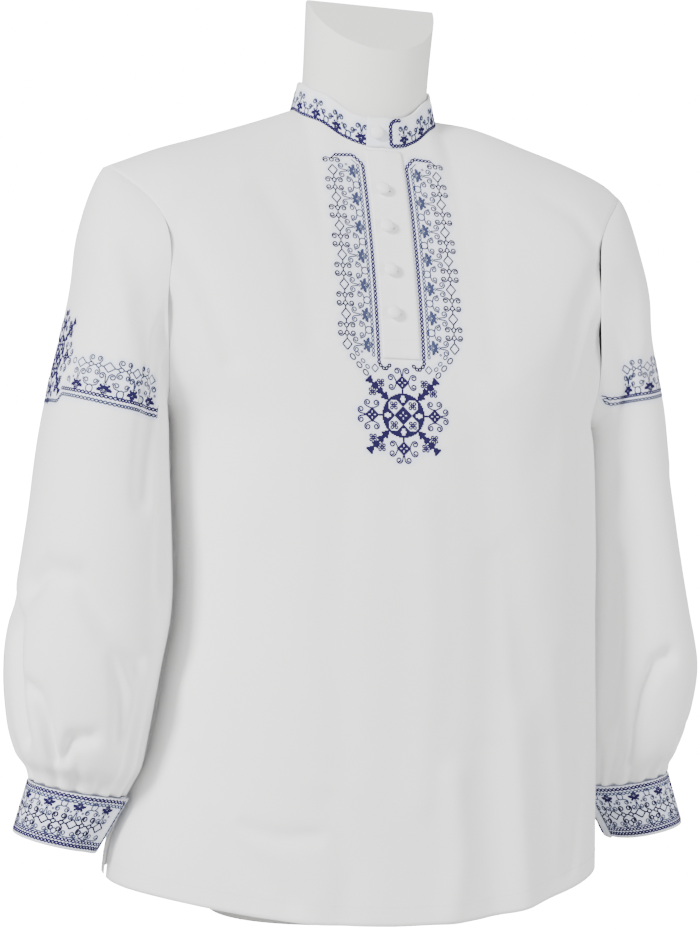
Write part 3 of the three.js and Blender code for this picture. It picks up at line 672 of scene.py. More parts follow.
class Chart:
    def __init__(self):
        self.strokes = []
        self.stitches = []

    def stroke(self, thread, width, places):
        self.strokes.append((thread, width, places))

    def line(self, thread, width, a, b):
        steps = max(1, round(math.dist(a, b) / 0.8))
        self.stroke(thread, width, [(lerp(a[0], b[0], k / steps), lerp(a[1], b[1], k / steps))
                                    for k in range(steps + 1)])

    def path(self, thread, width, places):
        for a, b in zip(places, places[1:]):
            self.line(thread, width, a, b)

    def ring(self, thread, width, centre, radius, tall=1.0, turn=0.0):
        steps = max(8, round(2 * math.pi * radius * max(tall, 1) / 0.7))
        spots = []
        for k in range(steps + 1):
            angle = 2 * math.pi * k / steps
            a, b = radius * math.cos(angle), radius * tall * math.sin(angle)
            spots.append((centre[0] + a * math.cos(turn) - b * math.sin(turn),
                          centre[1] + a * math.sin(turn) + b * math.cos(turn)))
        self.stroke(thread, width, spots)

    def scroll(self, thread, width, start, centre, radius, sense, winds=1.35):
        gap = math.dist(start, centre)
        base = math.atan2(start[1] - centre[1], start[0] - centre[0])
        first = base + sense * math.acos(clamp(radius / gap)) if gap > radius else base
        places = [start]
        steps = round(winds * 2 * math.pi * radius / 0.75)
        for k in range(steps + 1):
            share = k / steps
            angle = first + sense * 2 * math.pi * winds * share
            r = radius * (1 - 0.7 * share**0.8)
            places.append((centre[0] + r * math.cos(angle), centre[1] + r * math.sin(angle)))
        self.stroke(thread, width, places)

    def twist(self, thread, width, a, b, link=3.6, half=1.2):
        # two threads that cross at every link, so that they read as a chain
        length = math.dist(a, b)
        links = max(1, round(length / link))
        ahead = ((b[0] - a[0]) / length, (b[1] - a[1]) / length)
        for sign in (1, -1):
            places = []
            for k in range(links * 6 + 1):
                d = length * k / (links * 6)
                off = sign * half * math.sin(math.pi * k / 6)
                places.append((a[0] + ahead[0] * d - ahead[1] * off, a[1] + ahead[1] * d + ahead[0] * off))
            self.stroke(thread, width, places)

    def diamond(self, thread, width, centre, half_s, half_t):
        s, t = centre
        corners = [(s + half_s, t), (s, t + half_t), (s - half_s, t), (s, t - half_t), (s + half_s, t)]
        self.path(thread, width, corners)

    def stitch(self, thread, s, t):
        self.stitches.append((thread, s, t, CELL))

    def filled(self, thread, centre, rows):
        # rows of a chart, where '#' is a stitch
        height, width = len(rows), max(len(row) for row in rows)
        for j, row in enumerate(rows):
            for i, mark in enumerate(row):
                if mark != "#":
                    continue
                a, b = (i - (width - 1) / 2) * CELL, ((height - 1) / 2 - j) * CELL
                self.stitch(thread, centre[0] + a, centre[1] + b)

    def add(self, other, change, scale=1.0):
        # another chart, with each of its places moved by `change`
        for thread, width, places in other.strokes:
            self.strokes.append((thread, width, [change(*p) for p in places]))
        for thread, s, t, size in other.stitches:
            self.stitches.append((thread, *change(s, t), size * scale))

    def set(self, other, s, t, scale=1.0, way=1):
        # another chart set at a place; way is -1 where it hangs
        self.add(other, lambda a, b: (s + a * scale, t + way * b * scale), scale)


PALMETTE = [
    "      #      ",
    "     # #     ",
    "  ##  #  ##  ",
    "  #########  ",
    "   #######   ",
    " ########### ",
    "###### ######",
    "####  #  ####",
]
print("chart tools ready; the flower has", sum(row.count("#") for row in PALMETTE), "stitches")

# %% [markdown]
# The motifs: a leafy flower on a short stem with two scrolls above it, a ring with two scrolls beside it, a
# diamond followed by two small rings with four scrolls, a looped square, and the round medallion whose rays
# look like small fir trees. All of them are built from the few marks above.

# %% Motifs
def flower(thread, scroll_thread, width=0.65):
    # a leafy flower with its foot at 0, 0
    chart = Chart()
    for s, t in ((0, 1.4), (-1.6, 2.7), (1.6, 2.7)):
        chart.ring(thread, width, (s, t), 0.85)
    chart.filled(thread, (0, 7.2), PALMETTE)
    for sign in (1, -1):
        chart.scroll(scroll_thread, width, (sign * 0.5, 11.0), (sign * 4.3, 16.0), 3.0, -sign)
        chart.ring(scroll_thread, 0.5, (sign * 6.2, 10.9), 0.8)
    return chart


def ring_and_scrolls(thread, width=0.65):
    chart = Chart()
    chart.ring(thread, width, (0, 3.4), 3.1, 1.06)
    for sign in (1, -1):
        chart.scroll(thread, width, (sign * 1.6, 6.2), (sign * 4.5, 10.0), 2.8, sign)
    return chart


def scroll_chain(thread, pitch, width=0.7):
    # one period, from a diamond at 0 to the next: two small rings, with a scroll above and below each
    chart = Chart()
    chart.diamond(thread, width, (0, 0), 5.0, 4.3)
    rings = (pitch / 2 - 3.6, pitch / 2 + 3.6)
    chart.line(thread, width, (5, 0), (rings[0] - 2, 0))
    chart.line(thread, width, (rings[0] + 2, 0), (rings[1] - 2, 0))
    chart.line(thread, width, (rings[1] + 2, 0), (pitch - 5, 0))
    for side, centre in zip((-1, 1), rings):
        chart.ring(thread, width, (centre, 0), 2.0, 0.85)
        for way in (1, -1):
            chart.scroll(thread, width, (centre, way * 1.7), (centre, way * 5.6), 2.8, side * way)
    return chart


def looped_square(thread, width=0.65):
    # a small square with a loop at each corner
    chart = Chart()
    for s, t in ((1, 1), (-1, 1), (-1, -1), (1, -1)):
        chart.ring(thread, width, (1.9 * s, 1.9 * t), 1.2)
    chart.path(thread, width, [(0.9, 0.9), (-0.9, 0.9), (-0.9, -0.9), (0.9, -0.9), (0.9, 0.9)])
    return chart


DISC = 19.6  # radius of the medallion's round part, in mm


def in_dots(a, b):
    # four small windows round the middle of a diamond
    return abs(max(a, b) - 2.5 * CELL) < 0.6 * CELL and min(a, b) < 0.6 * CELL


def in_medallion(a, b):
    # the chart of the solid part, for distances a and b from the middle, both positive
    inner, outer = min(a, b), max(a, b)
    across = sorted((abs(outer - 14.4), inner))
    cross = across[0] < 1.2 and across[1] < 2.8
    ground = outer < 13.1 and math.hypot(a, b) < 17.4 and a + b > 8.8 and outer - inner < 7.8
    return not (in_dots(a, b) or cross or ground)


def in_ray(a, b):
    # a ray like a small fir, where a runs along it from the middle and b away from it
    tooth = ((a - 19) / 6.6) % 1
    return 18.6 < a < 45.4 and b < 0.9 + 3.4 * tooth


def medallion_arm(thread):
    arm = Chart()
    arm.line(thread, 1.1, (0, 19), (0, 23))
    for i in range(-7, 8):
        for j in range(-7, 8):
            a, b = abs(i) * CELL, abs(j) * CELL
            if a + b < 6.6 and not in_dots(a, b):
                arm.stitch(thread, i * CELL, 29 + j * CELL)
    for side in (1, -1):
        arm.scroll(thread, 0.75, (side * 0.5, 35.0), (side * 4.3, 39.2), 3.1, -side)
        arm.scroll(thread, 0.75, (side * 5.4, 29.6), (side * 10.6, 33.2), 3.1, -side)
        arm.scroll(thread, 0.75, (side * 5.4, 28.4), (side * 10.3, 25.2), 3.0, side)
    return arm


def medallion(thread):
    chart, arm, square = Chart(), medallion_arm(thread), looped_square(thread, 0.75)
    reach = range(-40, 41)
    for i in reach:
        for j in reach:
            a, b = abs(i) * CELL, abs(j) * CELL
            ray = in_ray((a + b) / math.sqrt(2), abs(a - b) / math.sqrt(2))
            if in_medallion(a, b) if a * a + b * b < DISC**2 else ray:
                chart.stitch(thread, i * CELL, j * CELL)
    for c, s in ((1, 0), (0, 1), (-1, 0), (0, -1)):
        chart.add(arm, lambda a, b, c=c, s=s: (a * c - b * s, a * s + b * c))
        for a, b, scale in ((8.6, 8.6, 1.0), (20.2, 28.4, 0.95), (28.4, 20.2, 0.95)):
            chart.set(square, a * c - b * s, a * s + b * c, scale)
    return chart


MEDALLION = medallion(NAVY)
print("medallion:", len(MEDALLION.stitches), "stitches and", len(MEDALLION.strokes), "strokes")

# %% [markdown]
# The charts are now laid on the sewn garment. Each surface gets a rule that turns a place on the chart into a
# point of the cloth. On a tube the length round it is measured first, and the chart is laid off along it as a
# tape would be. On the front a ray is cast at the cloth from before it.

# %% Finding places on the cloth
def grid_point(name, s, t):
    points, columns, rows = SHEETS[name]
    a, b = clamp(s) * columns, clamp(t) * rows
    i, j = min(int(a), columns - 1), min(int(b), rows - 1)
    low = points[i, j].lerp(points[i + 1, j], a - i)
    high = points[i, j + 1].lerp(points[i + 1, j + 1], a - i)
    return low.lerp(high, b - j)


def tape(point_at, count=240):
    # the length reached at equal steps along a line, in mm
    marks, last = [0.0], point_at(0)
    for k in range(1, count + 1):
        spot = point_at(k / count)
        marks.append(marks[-1] + (spot - last).length / MM)
        last = spot
    return marks


def share_at(marks, length):
    length = clamp(length, 0, marks[-1])
    k = min(max(bisect.bisect_right(marks, length) - 1, 0), len(marks) - 2)
    return (k + (length - marks[k]) / max(marks[k + 1] - marks[k], 1e-9)) / (len(marks) - 1)


def band_place(name, height):
    # s runs along the band from its outer end, t up from its foot
    from_start = name == "collar_cloth"
    marks = tape(lambda share: grid_point(name, share if from_start else 1 - share, 0.5))

    def place(s, t):
        share = share_at(marks, s)
        return grid_point(name, share if from_start else 1 - share, t / height)

    return place, marks[-1]


def sleeve_place(hand, outer_z, inner_z):
    # s runs from the outermost line of the sleeve to the front, t is the height over a slanting plane
    points, columns, rows = SHEETS[f"sleeve_cloth_{hand}"]
    heights = [[points[i, j].z for j in range(rows + 1)] for i in range(columns)]

    def at_height(column, z, held):
        # above the armhole there is no sleeve; `held` gives the armhole's own point there
        j = bisect.bisect_right(heights[column], z) - 1
        if j >= rows:
            return points[column, rows] if held else None
        a, b = points[column, j], points[column, j + 1]
        return a.lerp(b, (z - a.z) / max(b.z - a.z, 1e-9))

    def at_angle(angle, t, held=False):
        turn = (-SIDES[hand][0] * angle / (2 * math.pi)) % 1 * columns
        z = (lerp(inner_z, outer_z, (1 + math.cos(angle)) / 2) + t) * MM
        near, far = (at_height((int(turn) + k) % columns, z, held) for k in (0, 1))
        return near.lerp(far, turn - int(turn)) if near and far else None

    reach = math.radians(170)
    fore = tape(lambda share: at_angle(share * reach, 0, True))
    rear = tape(lambda share: at_angle(-share * reach, 0, True))

    def place(s, t):
        return at_angle(reach * (share_at(fore, s) if s >= 0 else -share_at(rear, -s)), t)

    return place


def seen_on(cloth):
    tree = BVHTree.FromObject(cloth, bpy.context.evaluated_depsgraph_get())

    def place(x, z):
        return tree.ray_cast(Vector((x * MM, -0.5, z * MM)), Vector((0, 1, 0)))[0]

    return place


print("length of the bands, in mm:", [round(band_place(name, 27)[1]) for name in
                                     ("collar_cloth", "cuff_cloth_left", "cuff_cloth_right")])

# %% [markdown]
# A stroke becomes a low ridge of thread, wide as the yarn and rounded in cross-section by smooth shading. A
# filled stitch becomes a low pyramid, as a counted stitch pulls its middle up. All the work on one piece of
# cloth is one joined mesh, with one material for each shade of thread.

# %% Sewing a chart on the cloth
def facing(place, s, t, centre):
    # the point on the cloth and the direction away from it
    spots = [place(*p) for p in ((s, t), (s - 0.5, t), (s + 0.5, t), (s, t - 0.5), (s, t + 0.5))]
    if None in spots:
        return None
    here, left, right, low, high = spots
    away = (right - left).cross(high - low)
    if away.length < 1e-12:
        return None
    away.normalize()
    outwards = Vector((0, -1, 0)) if centre is None else here - centre
    return here, away if away.dot(outwards) > 0 else -away


def sew_stroke(shape, spots, width, thread):
    last = None
    for k, spot in enumerate(spots):
        near = [p for p in spots[max(k - 1, 0):k + 2] if p]
        if spot is None or len(near) < 2:
            last = None
            continue
        here, away = spot
        side = (near[-1][0] - near[0][0]).cross(away)
        if side.length < 1e-9:
            continue
        side = side.normalized() * width * SPREAD / 2 * MM
        low, top = away * 0.05 * MM, away * (0.1 + 0.4 * width) * MM
        row = [shape.verts.new(p) for p in (here + side + low, here + top, here - side + low)]
        if last:
            for a, b in ((0, 1), (1, 2)):
                face = shape.faces.new((last[a], row[a], row[b], last[b]))
                face.material_index, face.smooth = thread, True
        last = row


def sew_stitch(shape, place, spot, stitch):
    thread, s, t, size = stitch
    half = size * 0.6
    corners = [place(s + a * half, t + b * half) for a, b in ((-1, -1), (1, -1), (1, 1), (-1, 1))]
    if spot is None or None in corners:
        return
    here, away = spot
    low = [shape.verts.new(p + away * 0.08 * MM) for p in corners]
    top = shape.verts.new(here + away * 0.42 * MM)
    for k in range(4):
        shape.faces.new((low[k], low[(k + 1) % 4], top)).material_index = thread


SPREAD = 1.75  # a stroke is wider than its yarn, as the stitches of a row lie beside one another
THREADS_AND_SHADE = [bpy.data.materials.new(name) for name in
           ("navy_thread", "blue_thread", "grey_blue_thread", "dark_thread", "white_thread")]
WORKS = {}


def embroider(name, chart, place, centre=None):
    shape = bmesh.new()
    for thread, width, places in chart.strokes:
        sew_stroke(shape, [facing(place, *p, centre) for p in places], width, thread)
    for stitch in chart.stitches:
        sew_stitch(shape, place, facing(place, stitch[1], stitch[2], centre), stitch)
    mesh = to_mesh(shape, name)
    work = put_in_scene(name, mesh)
    for material in THREADS_AND_SHADE:
        mesh.materials.append(material)
    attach(work, "root")
    WORKS[name] = work
    print(name, "is sewn:", len(mesh.polygons), "faces")


# %% [markdown]
# Front: on each side of the placket runs a band of seven flowers, from the collar down to the medallion. A
# heavy chain and a lighter one follow the placket, and the chain of diamonds and scrolls is the outer edge.

# %% Embroidery of the front
PITCH, TOP_FLOWER, FLOWERS = 26.8, 678, 7


def front_side(sign):
    chart = Chart()
    for k in range(FLOWERS):
        z = TOP_FLOWER - PITCH * k

        def turned(a, b, z=z, foot=25.8):
            return sign * (foot + b), z - a

        chart.add(flower(BLUE, SLATE), turned)
        if k < FLOWERS - 1:
            chart.add(ring_and_scrolls(SLATE), lambda a, b: turned(a + PITCH / 2, b))
            chart.add(scroll_chain(DARK, PITCH), lambda a, b: turned(a, b + 24.2))
    chart.diamond(DARK, 0.7, (sign * 50, TOP_FLOWER - PITCH * 6), 4.3, 5.0)
    for down, inwards in ((11, 4.6), (18, 10.4), (24.4, 16.2)):
        chart.ring(DARK, 0.7, (sign * (50 - inwards), TOP_FLOWER - PITCH * 6 - down), 1.9, 1.5, sign * -0.7)
    chart.twist(NAVY, 0.8, (sign * 21, 685), (sign * 21, 501))
    chart.twist(BLUE, 0.6, (sign * 25.8, 685), (sign * 25.8, 507))
    chart.twist(NAVY, 0.8, (sign * 21, 685), (sign * 29.5, 694))
    chart.twist(NAVY, 0.8, (sign * 29.5, 694), (sign * 46.5, 693))
    chart.line(BLUE, 0.5, (sign * 25.5, 684), (sign * 31, 689.5))
    chart.line(DARK, 0.8, (sign * 46.5, 693), (sign * 49.7, 690))
    chart.ring(DARK, 0.7, (sign * 50, 688), 1.8)
    for out in (1, -1):
        chart.scroll(DARK, 0.7, (sign * 50, 689), (sign * (50 + out * 5.4), 687.6), 2.7, -sign * out)
    chart.twist(DARK, 0.8, (sign * 21, 501), (sign * 15.5, 496))
    chart.twist(DARK, 0.8, (sign * 15.5, 496), (sign * 10, 501))
    chart.diamond(SLATE, 0.6, (sign * 25, 497), 3.2, 3.6)
    for x, z in ((32, 498), (36, 503), (41, 509)):
        chart.ring(SLATE, 0.6, (sign * x, z), 1.4, 1.4, sign * -0.8)
    return chart


front_chart = Chart()
for sign in (1, -1):
    front_chart.add(front_side(sign), lambda a, b: (a, b))
front_chart.set(MEDALLION, 0, 456)
embroider("front_embroidery", front_chart, seen_on(front))

# %% [markdown]
# Sleeves: the same medallion sits on the outside of the upper arm, and a band like the front's runs from it
# round the front and the back of the sleeve, open at the inner side.

# %% Embroidery of the sleeves
# where the chart's even lengths come to lie, as a fold of the sleeve takes up a part of the band
PINCH = [(-20, -20), (63, 63), (76, 79), (90, 94), (103, 109), (116, 119), (130, 129), (143, 144), (170, 171)]


def pinched(s):
    k = next(k for k in range(1, len(PINCH)) if s <= PINCH[k][0] or k == len(PINCH) - 1)
    (a, b), (c, d) = PINCH[k - 1], PINCH[k]
    return b + (s - a) * (d - b) / (c - a)


def sleeve_half(count, past):
    half = Chart()
    pitch, first = 26.6, 63.0
    for k in range(count):
        half.set(flower(NAVY, SLATE, 0.7), first + pitch * k, 5.6)
        if k < count - 1:
            half.set(ring_and_scrolls(SLATE), first + pitch * (k + 0.5), 5.6)
            half.set(scroll_chain(SLATE, pitch, 0.65), first + pitch * k, 29.5)
    end = first + pitch * (count - 1)
    half.diamond(SLATE, 0.65, (end, 29.5), 5, 4.3)
    half.ring(SLATE, 0.65, (53, 30), 2.4)
    half.scroll(SLATE, 0.65, (53, 10), (50, 13.5), 2.8, 1)
    half.twist(NAVY, 0.8, (41, 5), (end + past, 5))
    half.twist(NAVY, 0.8, (end + past, 5), (end + past + 3, 10))
    half.twist(SLATE, 0.75, (44, 0), (end + past + 1, 0))
    half.twist(SLATE, 0.75, (end + past + 1, 0), (end + past + 5, 6))
    half.twist(SLATE, 0.75, (44, 0), (37, -7))
    half.twist(SLATE, 0.75, (37, -7), (0, -7))
    return half


def sleeve_chart(count, past):
    chart = Chart()
    for side in (1, -1):
        chart.add(sleeve_half(count, past), lambda a, b: (side * pinched(a), b))
    chart.set(MEDALLION, 4, 32)
    return chart


for hand, outer_z, inner_z, count, past in (("left", 466, 443, 4, 12), ("right", 490, 473, 3, 24)):
    side = SIDES[hand][0]
    middle = Vector((side * 238 * MM, 0.01, 0.5))
    place = sleeve_place(hand, outer_z, inner_z)
    chart = sleeve_chart(count, past)
    embroider(f"sleeve_{hand}_embroidery", chart, place, middle)

# %% [markdown]
# Cuffs and collar: narrow versions of the band. The cuff's flowers hang from its top edge, and below them
# comes a second row of scrolls. A chain closes the band at its visible end.

# %% Embroidery of the cuffs and the collar
def cuff_chart(length, height=47.0):
    chart = Chart()
    pitch, start = 26.0, 13.0
    end = length - 8
    for thread, width, down in ((NAVY, 0.9, 2.4), (BLUE, 0.7, 6.2), (NAVY, 0.7, 39.2), (NAVY, 0.9, 43)):
        chart.twist(thread, width, (start, height - down), (end, height - down))
    chart.twist(NAVY, 1.0, (start, height - 2.4), (start, height - 43))
    count = int((end - start - 8) / pitch)
    for k in range(count):
        s = start + 17 + pitch * k
        chart.set(flower(NAVY, SLATE), s, height - 6.2, 0.84, -1)
        chart.set(ring_and_scrolls(SLATE), s + pitch / 2, height - 6.2, 0.84, -1)
        chart.set(scroll_chain(DARK, pitch, 0.8), s, height - 25.6)
        chart.ring(SLATE, 0.65, (s + pitch / 2, height - 33.6), 2.3)
        for side in (1, -1):
            chart.scroll(SLATE, 0.65, (s, height - 37), (s + side * 4, height - 34), 2.7, side)
            chart.scroll(SLATE, 0.65, (s + pitch / 2, height - 36.4),
                         (s + pitch / 2 + side * 5.6, height - 35.6), 2.0, side)
    return chart


def collar_chart(length, tab=23.0):
    chart = Chart()
    pitch, end = 25.5, length - 6
    chart.twist(NAVY, 0.95, (tab, 2), (end, 2))
    chart.twist(NAVY, 0.95, (tab, 2), (tab, 21))
    chart.twist(NAVY, 0.95, (tab, 21), (tab + 4, 25))
    chart.twist(NAVY, 0.95, (tab + 4, 25), (tab + 12, 25))
    for k in range(int((end - tab - 6) / pitch)):
        s = tab + 15 + pitch * k
        chart.set(flower(NAVY, SLATE, 0.75), s, 2.8, 0.88)
        chart.set(ring_and_scrolls(SLATE, 0.75), s + pitch / 2, 2.8, 0.86)
    return chart


def tube_centre(name):
    points = SHEETS[name][0].values()
    return sum(points, Vector()) / len(points)


for hand in SIDES:
    name = f"cuff_cloth_{hand}"
    place, length = band_place(name, 47.0)
    embroider(f"cuff_{hand}_embroidery", cuff_chart(length), place, tube_centre(name))
place, length = band_place("collar_cloth", 27.0)
embroider("collar_embroidery", collar_chart(length), place, tube_centre("collar_cloth"))

# %% [markdown]
# The washed-out dye of the threads leaves a faint blue on the ground between them. The cloth's material
# reads it from a value kept at each point, which falls off with the distance to the nearest thread.

# %% A value at each point for the blue ground
def keep_tint(cloth, work, reach=(1.0, 4.0)):
    spots = KDTree(len(work.data.vertices))
    for k, v in enumerate(work.data.vertices):
        spots.insert(v.co, k)
    spots.balance()
    tint = cloth.data.attributes.new("tint", "FLOAT", "POINT")
    for k, v in enumerate(cloth.data.vertices):
        away = spots.find(v.co)[2] / MM
        tint.data[k].value = 1 - smooth(away, *reach)
    print(cloth.name, "mean tint:", round(sum(d.value for d in tint.data) / len(tint.data), 3))


keep_tint(front, WORKS["front_embroidery"])
keep_tint(collar, WORKS["collar_embroidery"])
for hand in SIDES:
    keep_tint(sleeves[hand], WORKS[f"sleeve_{hand}_embroidery"])
    keep_tint(cuffs[hand], WORKS[f"cuff_{hand}_embroidery"])

# %% [markdown]
# White sewing thread shows as short stitches: round the placket and its boxed foot, along the hem, and close
# to the edges of the cuffs and the collar. Each buttonhole is a slit with an edge of close stitches; the end
# of it peeps out beside the button. The slit itself is a dark strip, and its grey is painted shade for the
# hollow inside it.

# %% Topstitching and buttonholes
WHITE, SHADE = 4, 5
# the sixth material is a dark grey of painted shade for the hollow of each buttonhole's slit
THREADS_AND_SHADE.append(bpy.data.materials.new("buttonhole_painted_shade"))
STITCH, GAP = 2.3, 1.0


def topstitch(chart, places):
    # broken into stitches of even length along the line
    reach = [0.0]
    for a, b in zip(places, places[1:]):
        reach.append(reach[-1] + math.dist(a, b))
    start = 0.0
    while start + STITCH < reach[-1]:
        chart.stroke(WHITE, 0.42, [between(places, reach, start + STITCH * k / 2) for k in range(3)])
        start += STITCH + GAP


def between(places, reach, length):
    k = min(bisect.bisect_right(reach, length), len(reach) - 1)
    share = (length - reach[k - 1]) / (reach[k] - reach[k - 1])
    return tuple(lerp(a, b, share) for a, b in zip(places[k - 1], places[k]))


def buttonhole(chart, z):
    left, right = BUTTON_X - 3, 2.2
    for sign in (1, -1):
        chart.line(WHITE, 0.9, (left, z + sign * 0.85), (right, z + sign * 0.85))
    chart.line(WHITE, 0.9, (right, z - 1.1), (right, z + 1.1))
    # the slit: a dark strip of painted shade between the stitched edges
    chart.line(SHADE, 0.9, (left, z), (right - 0.5, z))


placket_chart = Chart()
edge = PLACKET_HALF - 2.2
topstitch(placket_chart, [(-edge, PLACKET_TOP - 8), (-edge, PLACKET_FOOT + 2.5), (edge, PLACKET_FOOT + 2.5),
                          (edge, PLACKET_TOP - 8)])
topstitch(placket_chart, [(-edge + 1, PLACKET_FOOT + 17), (edge - 1, PLACKET_FOOT + 17)])
for z in BUTTON_HEIGHTS:
    buttonhole(placket_chart, z)
embroider("placket_stitching", placket_chart, seen_on(placket))


def hem_place(name):
    # s is the share of the width, t the height over the cut edge in mm
    points, columns, rows = SHEETS[name]

    def place(s, t):
        a = clamp(s / 1000) * columns
        i = min(int(a), columns - 1)
        spots = []
        for column in (i, i + 1):
            foot = points[column, 0]
            j = next(j for j in range(1, rows) if (points[column, j] - foot).length / MM > t)
            low, high = (points[column, j - 1] - foot).length / MM, (points[column, j] - foot).length / MM
            spots.append(points[column, j - 1].lerp(points[column, j], (t - low) / (high - low)))
        return spots[0].lerp(spots[1], a - i)

    return place


hem_chart = Chart()
for k in range(172):
    start = 8 + k * 5.72
    hem_chart.stroke(WHITE, 0.42, [(start + 1.95 * n, 16.5) for n in range(3)])
for name, away in (("front", FRONT), ("back", BACK)):
    middle = Vector((0, -away * 5, 0.1))
    embroider(f"{name}_hem_stitching", hem_chart, hem_place(f"{name}_cloth"), middle)
for name, height in (("cuff_cloth_left", 47), ("cuff_cloth_right", 47), ("collar_cloth", 27)):
    place, length = band_place(name, height)
    edge_chart = Chart()
    edges = [(3, height - 1.6), (3, 1.2)] if name == "collar_cloth" else [(3, 1.8), (3, height - 1.2)]
    for s, t in edges:
        topstitch(edge_chart, [(s, t), (length - 4, t)])
    embroider(name.replace("cloth", "stitching"), edge_chart, place, tube_centre(name))

# %% [markdown]
# The buttons are small domes covered with the shirt's own cloth. The cloth is drawn together behind the
# dome, which leaves shallow pleats round its rim.

# %% Buttons
def make_button(name, seat, normal):
    shape = bmesh.new()
    bmesh.ops.create_uvsphere(shape, u_segments=48, v_segments=24, radius=1)
    for v in shape.verts:
        turn, rim = math.atan2(v.co.y, v.co.x), math.hypot(v.co.x, v.co.y)
        pleat = 1 - 0.03 * smooth(rim, 0.7, 1) * (0.5 + 0.5 * math.sin(14 * turn))
        v.co = Vector((v.co.x * pleat, v.co.y * pleat, v.co.z * BUTTON_FLATNESS)) * BUTTON_RADIUS * MM
    mesh = to_mesh(shape, name)
    mesh.shade_smooth()
    turn = normal.to_track_quat("Z", "Y").to_matrix().to_4x4()
    mesh.transform(Matrix.Translation((seat + normal * (BUTTON_RADIUS * BUTTON_FLATNESS + 0.1)) * MM) @ turn)
    made = put_in_scene(name, mesh)
    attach(made, "root")
    return made


buttons = {}
for k, z in enumerate(BUTTON_HEIGHTS):
    normal = front_normal(BUTTON_X, z)
    seat = panel_point(FRONT, BUTTON_X, z) + normal * (LAYER + CLOTH)
    buttons[f"button_{k + 1}"] = make_button(f"covered_button_{k + 1}", seat, normal)
angle, rise = math.radians(-5), 0.45
across = collar_point(angle + 0.02, rise) - collar_point(angle - 0.02, rise)
normal = across.cross(collar_point(angle, 1) - collar_point(angle, 0)).normalized()
seat = collar_point(angle, rise) + normal * (BAND + LAYER)
buttons["button_collar"] = make_button("covered_button_collar", seat, normal)
for node, made in buttons.items():
    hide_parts(node)
print("buttons:", len(buttons), "of", len(made.data.polygons), "faces each")

# %% [markdown]
# The form inside is a smooth torso shell with a neck. It is drawn up from ovals, like the sleeves, and the
# neck is sliced level behind and slanting in front. A Bevel rounds the sliced edges as a moulded shell has
# them.

# %% The torso form
# height, half-width, front depth, back depth, roundness, how far it follows the cloth
FORM = [
    (0, 132, 84, 82, 2.3, 0),
    (8, 138, 88, 86, 2.3, 0),
    (90, 152, 96, 96, 2.3, 0),
    (190, 148, 96, 90, 2.3, 0),
    (300, 146, 98, 86, 2.4, 0),
    (400, 160, 104, 100, 2.6, 0.1),
    (470, 174, 106, 112, 3, 0.4),
    (540, 186, 100, 120, 4, 0.85),
    (590, 194, 96, 120, 6, 1),
    (640, 196, 96, 120, 7, 1),
    (662, 192, 96, 120, 8, 1),
    (680, 180, 96, 120, 10, 1),
    (694, 158, 96, 120, 14, 1),
    (704, 140, 96, 120, 20, 1),
    (716, 112, 96, 120, 20, 1),
    (728, 88, 96, 120, 20, 1),
    (738, 68, 96, 120, 20, 1),
]
# height, y, half-width, half-depth of the neck
NECK = [
    (660, 50, 58, 52), (700, 45, 59, 55), (740, 39, 60, 58),
    (780, 33, 60, 57), (830, 26, 61.5, 57), (880, 19, 63, 57),
]
NECK_TOP = 844.0
SHOULDER_CLEARANCE = 4.6


def form_point(z, angle):
    half, front_depth, back_depth, roundness, fit = (along(FORM, z, column) for column in range(1, 6))
    face = FRONT if math.cos(angle) > 0 else BACK
    x = half * math.sin(angle)
    end = (1 - min(abs(math.sin(angle)) ** roundness, 1)) ** (1 / 2.2)
    cloth = face_y(face, x, z + SHOULDER_CLEARANCE) - face * SHOULDER_CLEARANCE
    free = face * (front_depth if face == FRONT else back_depth)
    spine = ridge(face, x)[0] * fit
    return Vector((x, spine + (lerp(free, cloth, fit) - spine) * end, z))


def neck_ring(z, angle):
    y, half, depth = (along(NECK, z, column) for column in range(1, 4))
    return Vector((half * math.cos(angle), y + depth * math.sin(angle), z))


def skin(name, heights, place, around):
    # rings of points, each joined to the next by a row of faces, and closed at both ends
    shape = bmesh.new()
    rings = []
    for z in heights:
        rings.append([shape.verts.new(place(z, 2 * math.pi * k / around - math.pi / 2) * MM)
                      for k in range(around)])
    for low, high in zip(rings, rings[1:]):
        for k in range(around):
            n = (k + 1) % around
            shape.faces.new((low[k], low[n], high[n], high[k]))
    for ring in (rings[0], rings[-1]):
        shape.faces.new(ring)
    bmesh.ops.recalc_face_normals(shape, faces=shape.faces)
    return put_in_scene(name, to_mesh(shape, name))


def slice_neck(neck):
    middle = along(NECK, NECK_TOP, 1)
    shape = bmesh.new()
    shape.from_mesh(neck.data)
    for normal in (Vector((0, 0, 1)), Vector((0, -1, 1)).normalized()):
        everything = shape.verts[:] + shape.edges[:] + shape.faces[:]
        cut = bmesh.ops.bisect_plane(
            shape, geom=everything, plane_co=Vector((0, middle, NECK_TOP)) * MM, plane_no=normal,
            clear_outer=True,
        )
        edges = [e for e in cut["geom_cut"] if isinstance(e, bmesh.types.BMEdge) and e.is_boundary]
        bmesh.ops.edgeloop_fill(shape, edges=edges)
    bmesh.ops.recalc_face_normals(shape, faces=shape.faces)
    shape.to_mesh(neck.data)
    shape.free()


